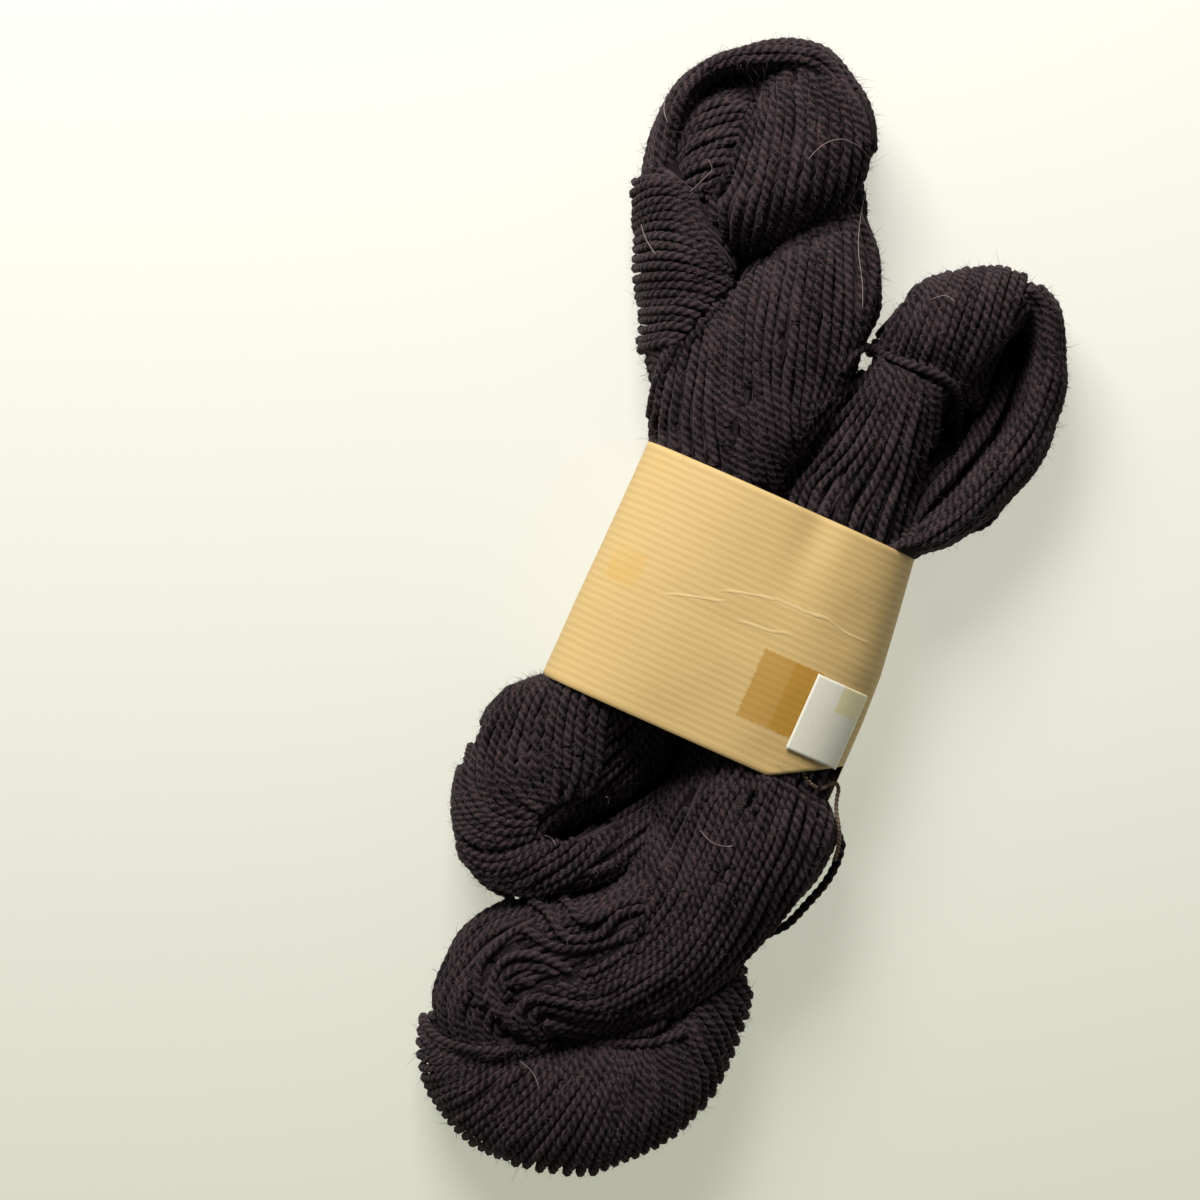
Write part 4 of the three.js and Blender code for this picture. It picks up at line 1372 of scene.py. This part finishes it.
random = np.random.default_rng(70)
alone = Runs()
for route in FREE_ROUTES:
    route = smooth_rows(route, np.linspace(0, len(route) - 1, ALONE_POINTS * len(route)))
    places = pinch(np.column_stack([photo_place(route[:, :2], route[:, 2]), route[:, 2]]))
    line = even_steps(places, np.tile([0.0, 0, 1], (len(places), 1)), STEP)
    alone.add(line[:, :3], line[:, 3:6], 0.3, random.uniform(0, 2 * np.pi))
for route in LAID_ROUTES:
    line = lay_route(route, ALONE_LIFT)
    alone.add(line[:, :3], line[:, 3:6], random.uniform(0.4, 1), random.uniform(0, 2 * np.pi))
total += make_yarn("yarn_alone", alone, PLY_RADII, STEP, PLY_PITCH)
laid["yarn_alone"] = alone

# %% [markdown]
# A few long pale hairs lie on the wool. They are the finest tubes of all, with three sides and no
# plies, a little above the strands.

# %% Pale hairs
HAIR_ROUTES = [
    [(866, 188), (860, 220), (858, 250), (862, 285), (862, 310)],
    [(808, 160), (822, 146), (840, 140), (858, 147), (870, 160)],
    [(740, 66), (747, 74), (753, 84)],
    [(690, 192), (697, 186), (705, 178), (712, 170), (708, 160)],
    [(641, 225), (646, 240), (656, 256)],
    [(665, 100), (664, 112), (668, 125)],
    [(545, 835), (552, 838), (556, 846)],
    [(606, 796), (609, 800), (607, 806)],
    [(700, 830), (712, 842), (730, 846), (742, 838)],
    [(520, 1060), (533, 1072), (540, 1090)],
    [(930, 300), (945, 296), (956, 304)],
]
HAIR_RADII = np.full(3, 0.09)
HAIR_LIFT = 2.2

hairs = Runs()
for route in HAIR_ROUTES:
    line = lay_route(route, HAIR_LIFT)
    hairs.add(line[:, :3], line[:, 3:6], 1.0, 0.0)
hair_wool, _, _ = new_material("hair_wool", {"Roughness": 0.7, "Base Color": (0.3, 0.24, 0.24, 1)})
vertices, quads, caps, uv, tones = tube(hairs, HAIR_RADII, STEP, None)
finish_piece(make_mesh("pale_hairs", vertices, quads, caps, uv, tones), hair_wool)
print("pale hairs", len(quads) + len(caps), "faces")

# %% [markdown]
# ## The bundles under them
# All other yarn follows the bundles, and every bundle is laid in the same way: along it, or across
# it on a fan. Where a top layer covers it, and on the underside, a plainer tube will do, because
# only glimpses of it show.

# %% Lay the bundles
# start angle, stop angle, rows of the inner edge
ACROSS = {
    "loop_fan": (np.pi + 0.2, -np.pi + 0.5, range(12)),
    "right_fan": (np.pi + 0.2, -np.pi + 0.5, (0.4, 1.4, 2.3, 3.2, 4.1, 5, 6, 6.8, 7.6, 8.4, 9.4, 10.6)),
    "left_wrap": (-0.2, 2 * np.pi - 0.5, (1.6, 1.9, 2.5, 3.4, 4.4, 5.3, 6)),
}
COVERED = ("left_fold", "left_neck", "left_bulb", "loop_neck", "right_fold")
TURNS = {"left_neck": 0.2, "right_fold": 0.06, "left_bulb": 0.05, "left_fold": 0.04}
UNDER = 0.9
plain = Runs()
for number, (name, table) in enumerate(BUNDLES.items()):
    random = np.random.default_rng(number + 1)
    fine = Runs()
    if name in ACROSS:
        strands = lay_across(table, random, *ACROSS[name], under=UNDER)
    else:
        strands = lay_along(table, random, turn=TURNS.get(name, 0), under=UNDER * (name in COVERED))
    collect(strands, random, fine, plain)
    if fine.lengths:
        total += make_yarn("yarn_" + name, fine, PLY_RADII, STEP, PLY_PITCH)
        laid["yarn_" + name] = fine
total += make_yarn("yarn_plain", plain, PLAIN_RADII, PLAIN_STEPS * STEP, None)
print("yarn triangles in all", total)

# %% [markdown]
# ## Fuzz
# Wool is hairy. Short fibres stand off every strand and blur its outline. Blender's own hair would
# make them too, but only meshes go into the exported model. Thousands are made at once, so each is
# only a thin bent spike with three sides and two joints.

# %% Spikes
FIBRE_JOINTS = 2


def fibre_mesh(name, roots, ways, bends, lengths, width):
    """Closed spikes, one for each root. A spike's line is its root plus its way times the
    distance, plus its bend times the distance squared over its length. Its width falls to nothing
    at the tip."""
    count = len(roots)
    share = np.linspace(0, 1, FIBRE_JOINTS + 1)
    run = share[None, :] * lengths[:, None]
    line = roots[:, None] + ways[:, None] * run[..., None]
    line = line + bends[:, None] * (run**2 / lengths[:, None])[..., None]
    side = unit(np.cross(ways, np.array([0.3, 0.5, 0.81])))
    other = np.cross(ways, side)
    turn = 2 * np.pi * np.arange(3) / 3
    ring = np.cos(turn)[:, None] * side[:, None] + np.sin(turn)[:, None] * other[:, None]
    thin = width * (1 - 0.6 * share[:-1])
    rings = line[:, :-1, None] + thin[None, :, None, None] * ring[:, None]
    vertices = np.concatenate([rings.reshape(count, -1, 3), line[:, -1:]], 1)
    each = vertices.shape[1]
    corner = np.arange(3)
    beside = (corner + 1) % 3
    joints = 3 * np.arange(FIBRE_JOINTS - 1)[:, None]
    quads = np.stack([joints + corner, joints + beside, joints + 3 + beside, joints + 3 + corner], -1)
    last = 3 * (FIBRE_JOINTS - 1)
    tips = np.stack([last + corner, last + beside, np.full(3, each - 1)], -1)
    ends = np.concatenate([[[0, 2, 1]], tips])
    offset = (np.arange(count) * each)[:, None, None]
    quads = (quads.reshape(1, -1, 4) + offset).reshape(-1, 4)
    ends = (ends[None] + offset).reshape(-1, 3)
    return make_mesh(name, vertices.reshape(-1, 3), quads, ends)


# %% [markdown]
# The fibres leave near the top of a strand, mostly along it, and curl. Each takes its root at a
# random place of the yarn that shows from above.

# %% Fibres on the strands
FIBRE_WIDTH = 0.05
FIBRE_LOWEST = 5


def grow_fuzz(name, runs, count, random):
    """So many fibres on the strands, as one mesh. A fibre's way is the strand's own direction,
    forward or back, plus some of the direction out and a random one. Its bend is random and
    turns down towards the yarn."""
    points = np.concatenate([part[1:-1] for part in runs.points if len(part) > 4])
    outward = np.concatenate([part[1:-1] for part in runs.outward if len(part) > 4])
    ahead = np.concatenate([part[2:] - part[:-2] for part in runs.points if len(part) > 4])
    pick = random.choice(np.flatnonzero(points[:, 2] > FIBRE_LOWEST), count)
    out, ahead = unit(outward[pick]), unit(ahead[pick])
    side = np.cross(out, ahead)
    lean = random.uniform(-0.9, 0.9, (count, 1))
    out = unit(out + lean * side)
    turn = random.choice([-1, 1], (count, 1))
    ways = turn * ahead * random.uniform(0.2, 1, (count, 1))
    ways = ways + out * random.uniform(0.15, 0.8, (count, 1))
    ways = unit(ways + 0.5 * random.normal(size=(count, 3)) * [1, 1, 0.4])
    bends = 0.55 * random.normal(size=(count, 3)) - 0.25 * out
    lengths = random.uniform(0.8, 2.0, count) + 1.8 * random.uniform(0, 1, count) ** 6
    return fibre_mesh(name, points[pick] + STRAND_INSET * out, ways, bends, lengths, FIBRE_WIDTH)


# %% [markdown]
# Single fibres catch more light than a strand does, so their wool is painted paler, as a painted
# highlight, and has more sheen.

# %% Grow the fuzz
FIBRES_A_SIDE = 8000
# The base colour is paler than the strands' wool: painted highlight.
FUZZ_FINISH = {"Roughness": 0.8, "Sheen Weight": 0.2, "Base Color": (0.05, 0.035, 0.042, 1)}
fuzz_wool, _, _ = new_material("fuzz_wool", FUZZ_FINISH)
random = np.random.default_rng(7)
for side in ("left", "right"):
    runs = Runs()
    for name, part in laid.items():
        if ("left" in name) == (side == "left"):
            runs.points += part.points
            runs.outward += part.outward
    fuzz = grow_fuzz("fuzz_" + side, runs, FIBRES_A_SIDE, random)
    finish_piece(fuzz, fuzz_wool)
    print(fuzz.name, len(fuzz.data.polygons), "faces")

# %% [markdown]
# ## The cores
# Between the strands the eye meets more yarn, in deep shade. A core a little below the surface
# closes every gap, and it stands for the imported hank; its nearly black colour is painted shade.
# Filling the hanks with real strands would take ten times the yarn, and none of it would show. Low
# fillers close the creases between two bundles in the same way, with the same painted shade.

# %% Lofts below the strands
CORE_INSET = 2.2
CORE_SIDES = 20
CORE_RINGS = 6

# Fillers of the creases, which take the cores' painted shade.
# left x, left y, right x, right y, bow, crown
FILLERS = {
    "between": [
        (-12, -62, 12, -58, 0, 14),
        (-10, -42, 12, -42, 0, 18),
        (-8, -20, 10, -20, 0, 24),
        (-8, 20, 10, 20, 0, 24),
        (-8, 40, 12, 42, 0, 20),
        (-6, 58, 10, 62, 0, 12),
    ],
    "loop": [
        (20, 28, 38, 34, 0, 24),
        (20, 44, 42, 48, 0, 22),
        (20, 60, 44, 62, 0, 18),
        (22, 76, 45, 80, 0, 14),
    ],
    "left_crease": [(-24, -62, -15, -72, 0, 20), (-11, -51, -1, -67, 0, 19), (2, -38, 14, -52, 0, 18)],
    "right_crease": [(-8, -110, 0, -124, 0, 20), (4, -104, 14, -118, 0, 20)],
    "lobe_notch": [(-21, -84, -17, -91, 0, 12), (-5, -74, -1, -81, 0, 20), (6, -67, 10, -75, 0, 24)],
}


def core_of(tables):
    """Closed lofts of all the tables, drawn in below the strands, as one mesh."""
    all_vertices, all_quads, all_caps, offset = [], [], [], 0
    for rows in tables:
        count = CORE_RINGS * len(rows)
        side = np.arange(CORE_SIDES)[None, :]
        angles = (side + 0.5) * 2 * np.pi / CORE_SIDES
        smooth = smooth_rows(rows, np.linspace(0, len(rows) - 1, count))
        rings = section_points(smooth, angles, CORE_INSET)
        rings = pinch(push(rings).reshape(-1, 3)).reshape(rings.shape)
        place = np.arange(count - 1)[:, None] * CORE_SIDES
        after = place + CORE_SIDES
        beside = (side + 1) % CORE_SIDES
        quads = np.stack([place + side, place + beside, after + beside, after + side], -1)
        fan = cap_fan(CORE_SIDES)
        all_vertices.append(rings.reshape(-1, 3))
        all_quads.append(quads.reshape(-1, 4) + offset)
        all_caps += [fan[:, ::-1] + offset, fan + (count - 1) * CORE_SIDES + offset]
        offset += count * CORE_SIDES
    return np.concatenate(all_vertices), np.concatenate(all_quads), np.concatenate(all_caps)


def turn_outwards(piece):
    """Recalculates the normals, so that every closed part faces outwards."""
    shape = bmesh.new()
    shape.from_mesh(piece.data)
    bmesh.ops.recalc_face_normals(shape, faces=shape.faces)
    shape.to_mesh(piece.data)
    shape.free()


# %% [markdown]
# The cores' wool is painted shade: nearly black, darker than the strands, a little uneven and
# without sheen.

# %% Cores
dark, dark_tree, dark_shader = new_material("core_painted_shade", {"Roughness": 1.0, "Specular IOR Level": 0.0})
place = add_node(dark_tree, "TexCoord", output=3)
rough = add_node(dark_tree, "TexNoise", None, {"Vector": place, "Scale": 700, "Detail": 3.0})
# Painted shade: two nearly black colours, both darker than the strands' wool.
shade = mix_colours(dark_tree, (0.004, 0.0028, 0.0036), (0.02, 0.014, 0.018), rough)
feed(dark_tree, dark_shader, Base_Color=shade)
for node, sides in (("hank_left", ["left"]), ("hank_right", ["loop", "right"])):
    tables = [table for name, table in BUNDLES.items() if name.split("_")[0] in sides]
    if node == "hank_left":
        tables += FILLERS.values()
    core = make_mesh("core_" + node, *core_of(tables))
    turn_outwards(core)
    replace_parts(finish_piece(core, dark), node)
    print(core.name, len(core.data.polygons), "faces")

# %% [markdown]
# ## The paper band
# Ribbed kraft paper is wrapped round both hanks and glued to itself underneath. The yarn's squeeze
# keeps it an oval tube. Its lower right corner is turned in, and it sags a little between the two
# hanks. Cloth physics could wrap it, but its section is known, so it is laid there at once, as one
# thin sheet from its glued start once round to its lap.

# %% Band surface
PAPER_WALL = 0.35
LAP = 0.45
LAP_ANGLE = 0.35
LAP_FADE = 0.15
SAG_FROM, SAG_FADE = 24, 8
TURNED_CORNER = {"x": 24.5, "y": -33.6, "rise": 0.56}
SHEET_STEP = 1.0
GIRTH_POINTS = 900
BAND_GIRTH, BAND_WIDTH = 232, 64

# x, y, width along x, width along y, depth
BAND_DENTS = [
    (11, 30, 5, 17, 1.3),
    (-6, -33, 9, 7, 0.5),
    (22, -30, 6, 6, 0.5),
    (-20, 31, 10, 6, 0.35),
    (2, -3, 16, 5, 0.3),
    (28, 8, 5, 9, 0.4),
]


def band_points(y, angle, offset):
    """The band's outer section, a rounded box with a flattened underside, moved by an offset."""
    left, right, crown = band_sides(y)
    across = signed_power(np.cos(angle), 2 / BAND_FULLNESS)
    up = signed_power(np.sin(angle), 2 / BAND_FULLNESS)
    x = (left + right) / 2 + across * ((right - left) / 2 + offset)
    lift = np.where(up > 0, crown - BAND_EDGE_HEIGHT, BAND_EDGE_HEIGHT + SINK) + offset
    z = np.maximum(BAND_EDGE_HEIGHT + up * lift, -offset)
    return np.stack([x, y + 0 * x, z], -1)


def sheet_faces(rows, columns):
    """Quads of two layers of a grid, the outer one first, joined all round their edge."""
    index = np.arange(rows * columns).reshape(rows, columns)
    outer = np.stack([index[:-1, :-1], index[1:, :-1], index[1:, 1:], index[:-1, 1:]], -1).reshape(-1, 4)
    inner = outer[:, ::-1] + rows * columns
    rim = np.concatenate([index[0, :-1], index[:-1, -1], index[-1, :0:-1], index[:0:-1, 0]])
    beside = np.roll(rim, -1)
    edge = np.stack([rim, beside, beside + rows * columns, rim + rows * columns], -1)
    return np.concatenate([outer, inner, edge])


def make_sheet(name, outer, inner, material):
    """A closed thin sheet from its two layers, each a grid of points."""
    rows, columns = outer.shape[:2]
    vertices = np.concatenate([outer.reshape(-1, 3), inner.reshape(-1, 3)])
    piece = make_mesh(name, vertices, sheet_faces(rows, columns))
    turn_outwards(piece)
    return finish_piece(piece, material)


# %% [markdown]
# Kraft paper is ribbed across the band: a cosine along it, a little unsteady, tints the paper and
# raises it with a bump, which at this size looks like real ribs. Creases run across the front as
# thin lines, and two marks of old tape, one faint and one brown, are boxes with rough edges.

# %% Boxes with soft edges


def box_mask(x, y, low, high, soft):
    """1 inside a box of x and y, 0 outside, with a soft edge. The box is in millimetres."""
    left, right = (x.between(side[0] - soft, side[0] + soft) for side in (low, high))
    near, far = (y.between(side[1] - soft, side[1] + soft) for side in (low, high))
    return left * (1 - right) * near * (1 - far)


# %% [markdown]
# All noise is taken from the sheet's own place in metres, and x, y and z from it in millimetres, so
# the marks stand where they are measured.

# %% Kraft paper
RIB_PITCH = 1.9
KRAFT = (0.62, 0.44, 0.185)
KRAFT_RIB = (0.5, 0.34, 0.13)
AGED_TAPE = (0.42, 0.21, 0.018)
TAPE_MARK = (0.6, 0.38, 0.11)

# x start, y start, x end, y end
CREASES = [
    (-16, -2.6, -3, 1.2),
    (-4, 3.2, 9, 7.2),
    (9, 7.4, 21, 7.2),
    (19, 7.4, 34, 6.2),
    (3, -1.5, 15, 0.6),
]

kraft, tree, shader = new_material("kraft_paper", {"Roughness": 0.6, "Specular IOR Level": 0.3})
place = add_node(tree, "TexCoord", output=3)
x, y, z = (1000 * add_node(tree, "SeparateXYZ", None, {0: place}, output) for output in range(3))
cloud = add_node(tree, "TexNoise", None, {"Vector": place, "Scale": 60, "Detail": 3.0})
fibre = add_node(tree, "TexNoise", None, {"Vector": place, "Scale": 1800, "Detail": 4.0})
stretched = add_node(tree, "Mapping", None, {"Vector": place, "Scale": (150, 1600, 150)})
streak = add_node(tree, "TexNoise", None, {"Vector": stretched, "Scale": 1.0, "Detail": 3.0})
wobble = 0.8 * (cloud - 0.5)
ribs = 0.5 + 0.5 * ((y + wobble) * (2 * np.pi / RIB_PITCH)).wave()
colour = mix_colours(tree, KRAFT, KRAFT_RIB, 0.55 * ribs + 0.35 * (streak - 0.4) + 0.3 * (fibre - 0.5))
crease = 0
for x_start, y_start, x_end, y_end in CREASES:
    slope = (y_end - y_start) / (x_end - x_start)
    off = y + 4 * (cloud - 0.5) - (x - x_start) * slope - y_start
    line = 1 - (off * off).between(0.0, 0.22)
    crease = crease + line * box_mask(x, y, (x_start, -10), (x_end, 14), 2.0)
colour = mix_colours(tree, colour, (0.78, 0.6, 0.32), 0.4 * crease)
rough_x, rough_y = x + 1.6 * (streak - 0.5), y + 1.6 * (fibre - 0.5)
above = z.between(19, 20)
mark = box_mask(rough_x, rough_y, (-32, -4.8), (-24, 3.6), 0.25) * above
mark = mark * (0.35 + 0.65 * cloud.between(0.42, 0.55))
colour = mix_colours(tree, colour, TAPE_MARK, 0.75 * mark)
aged = box_mask(rough_x, rough_y, (11.3, -23), (27, -5.2), 0.25) * above
colour = mix_colours(tree, colour, AGED_TAPE, aged * (0.72 + 0.18 * x.between(19.5, 20)))
height = 0.35 * ribs + 0.25 * fibre + 1.2 * crease
bump = add_node(tree, "Bump", None, {"Strength": 0.6, "Distance": 0.00012, "Height": height})
feed(tree, shader, Base_Color=colour, Normal=bump)
print("ribs", RIB_PITCH, "mm apart")

# %% [markdown]
# The sheet is a grid. Each column shares out the girth evenly, and each row follows the band. The
# paper sags where nothing holds it up from below.

# %% Wrap the band


def band_ripple(x, y):
    """How far the paper sags at each place seen from above: the dents and faint slow waves."""
    sag = 0.12 * np.sin(x / 5.1 + 0.4 * np.sin(y / 6)) + 0.1 * np.sin(y / 7.3 + x / 16)
    for dent_x, dent_y, wide, long, depth in BAND_DENTS:
        sag = sag + depth * np.exp(-(((x - dent_x) / wide) ** 2) - ((y - dent_y) / long) ** 2)
    return sag


def band_grid(columns, rows, offset):
    """Points of the whole sheet. Columns share out each section's length evenly, from the glued
    start under the skein once round, and the lap's end slips inside. The lower edge rises where
    the corner is turned in."""
    turned = np.linspace(-np.pi / 2 - LAP_ANGLE, 1.5 * np.pi + LAP_ANGLE, GIRTH_POINTS)
    y = np.linspace(BAND_ROWS[0, 0], BAND_ROWS[-1, 0], rows)
    ring = band_points(np.full(GIRTH_POINTS, 0.0), turned, 0)
    angle = np.interp(np.linspace(0, 1, columns), along(ring) / along(ring)[-1], turned)[:, None]
    flat = band_points(y[None, :] + 0 * angle, angle, offset)
    over = smooth_step((flat[..., 2] - BAND_EDGE_HEIGHT) / 2)
    past_corner = np.maximum(flat[..., 0] - TURNED_CORNER["x"], 0)
    low = TURNED_CORNER["y"] + TURNED_CORNER["rise"] * past_corner * over
    share = (y - y[0]) / (y[-1] - y[0])
    y = low + share[None, :] * (y[-1] - low)
    lap = smooth_step((angle - 1.5 * np.pi + LAP_ANGLE) / LAP_FADE)
    points = band_points(y, angle, offset - LAP * lap)
    sag = band_ripple(points[..., 0], points[..., 1])
    sag = sag * smooth_step((points[..., 2] - SAG_FROM) / SAG_FADE)
    points[..., 2] -= np.maximum(sag, -0.1)
    return points


columns, rows = int(BAND_GIRTH / SHEET_STEP), int(BAND_WIDTH / SHEET_STEP)
outer, inner = band_grid(columns, rows, 0), band_grid(columns, rows, -PAPER_WALL)
band = make_sheet("kraft_band", outer, inner, kraft)
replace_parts(band, "paper_band")

# %% [markdown]
# ## The slip
# A small white slip is stuck on the band near its lower right corner. A piece of old clear tape
# over its upper corner has gone yellow. It is a second thin sheet on the band's own curve, because
# a painted patch would have no edge that catches the light.

# %% Slip
SLIP = {"left": 25.5, "right": 39.1, "low": -25.6, "high": -5.6, "lift": 0.5, "wall": 0.25}
SLIP_SAG = 0.7
white, tree, shader = new_material("white_paper", {"Specular IOR Level": 0.4})
place = add_node(tree, "TexCoord", output=3)
x, y = (1000 * add_node(tree, "SeparateXYZ", None, {0: place}, output) for output in range(2))
fibre = add_node(tree, "TexNoise", None, {"Vector": place, "Scale": 900, "Detail": 3.0})
tape = box_mask(x + 0.8 * (fibre - 0.5), y, (33.2, -12.6), (60, 0), 0.15)
colour = mix_colours(tree, (0.74, 0.72, 0.6), (0.84, 0.82, 0.7), fibre)
feed(tree, shader, Base_Color=mix_colours(tree, colour, (0.74, 0.66, 0.36), 0.8 * tape),
     Roughness=0.7 - 0.45 * tape)


def slip_grid(offset, columns=24, rows=30):
    """The slip's points: even steps across, on the band's curve, at an offset above the paper."""
    x = np.linspace(SLIP["left"], SLIP["right"], columns)[:, None]
    y = np.linspace(SLIP["low"], SLIP["high"], rows)[None, :] + 0 * x
    left, right, _ = band_sides(y)
    angle = np.arccos(((2 * x - left - right) / (right - left)) ** (BAND_FULLNESS / 2))
    points = band_points(y, angle, offset)
    sag = np.maximum(band_ripple(points[..., 0], y), 0)
    points[..., 2] -= SLIP_SAG * sag * (points[..., 2] > SAG_FROM)
    return points


slip = make_sheet("white_slip", slip_grid(SLIP["lift"] + SLIP["wall"]), slip_grid(SLIP["lift"]),
                  white)
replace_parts(slip, "paper_slip")
slip_size = along(slip_grid(0)[:, 0])[-1], SLIP["high"] - SLIP["low"]
print("slip", [round(side, 1) for side in slip_size], "mm")

# %% [markdown]
# ## Floor and light
# The surface under the skein is pale and nearly without shadows. A plain white floor would show
# them all, so this one glows a little itself, more towards the light.

# %% Floor
floor_mesh = bpy.data.meshes.new("floor")
floor_mesh.from_pydata([(-2, -2, 0), (2, -2, 0), (2, 2, 0), (-2, 2, 0)], [], [(0, 1, 2, 3)])
floor = bpy.data.objects.new("floor", floor_mesh)
bpy.context.scene.collection.objects.link(floor)
pale, tree, shader = new_material("pale_floor", {"Base Color": (0.3, 0.3, 0.285, 1), "Roughness": 0.9})
place = add_node(tree, "TexCoord", output=3)
x, y = (add_node(tree, "SeparateXYZ", None, {0: place}, output) for output in range(2))
near_light = (y * 0.88 - x * 0.47 + 0.02).between(-0.32, 0.26)
feed(tree, shader, Emission_Color=mix_colours(tree, (0.43, 0.45, 0.32), (0.73, 0.71, 0.63), near_light))
shader.inputs["Emission Strength"].default_value = 0.85
floor_mesh.materials.append(pale)
print("floor 4 by 4 m")

# %% [markdown]
# One large soft light stands low above the head's side, as a window does, and a weak fill comes
# from all round. A bare lamp would draw hard shadows that the photo doesn't have.

# %% Light
bpy.context.scene.view_settings.view_transform = "Standard"


def area_light(name, place, size, power, colour):
    """A square area light that looks at the skein."""
    light = bpy.data.lights.new(name, "AREA")
    light.size, light.energy, light.color = size, power, colour
    lamp = bpy.data.objects.new(name, light)
    lamp.location = place
    lamp.rotation_euler = (Vector((0, 0, 0.02)) - Vector(place)).to_track_quat("-Z", "Y").to_euler()
    bpy.context.scene.collection.objects.link(lamp)
    print(name, "light of", power, "W")


area_light("key", place=(-0.4, 0.48, 0.58), size=0.42, power=11, colour=(1, 0.98, 0.94))
world = bpy.data.worlds.new("world")
bpy.context.scene.world = world
world.use_nodes = True
fill = world.node_tree.nodes["Background"].inputs
fill["Color"].default_value = (0.93, 0.94, 0.9, 1)
fill["Strength"].default_value = 0.14
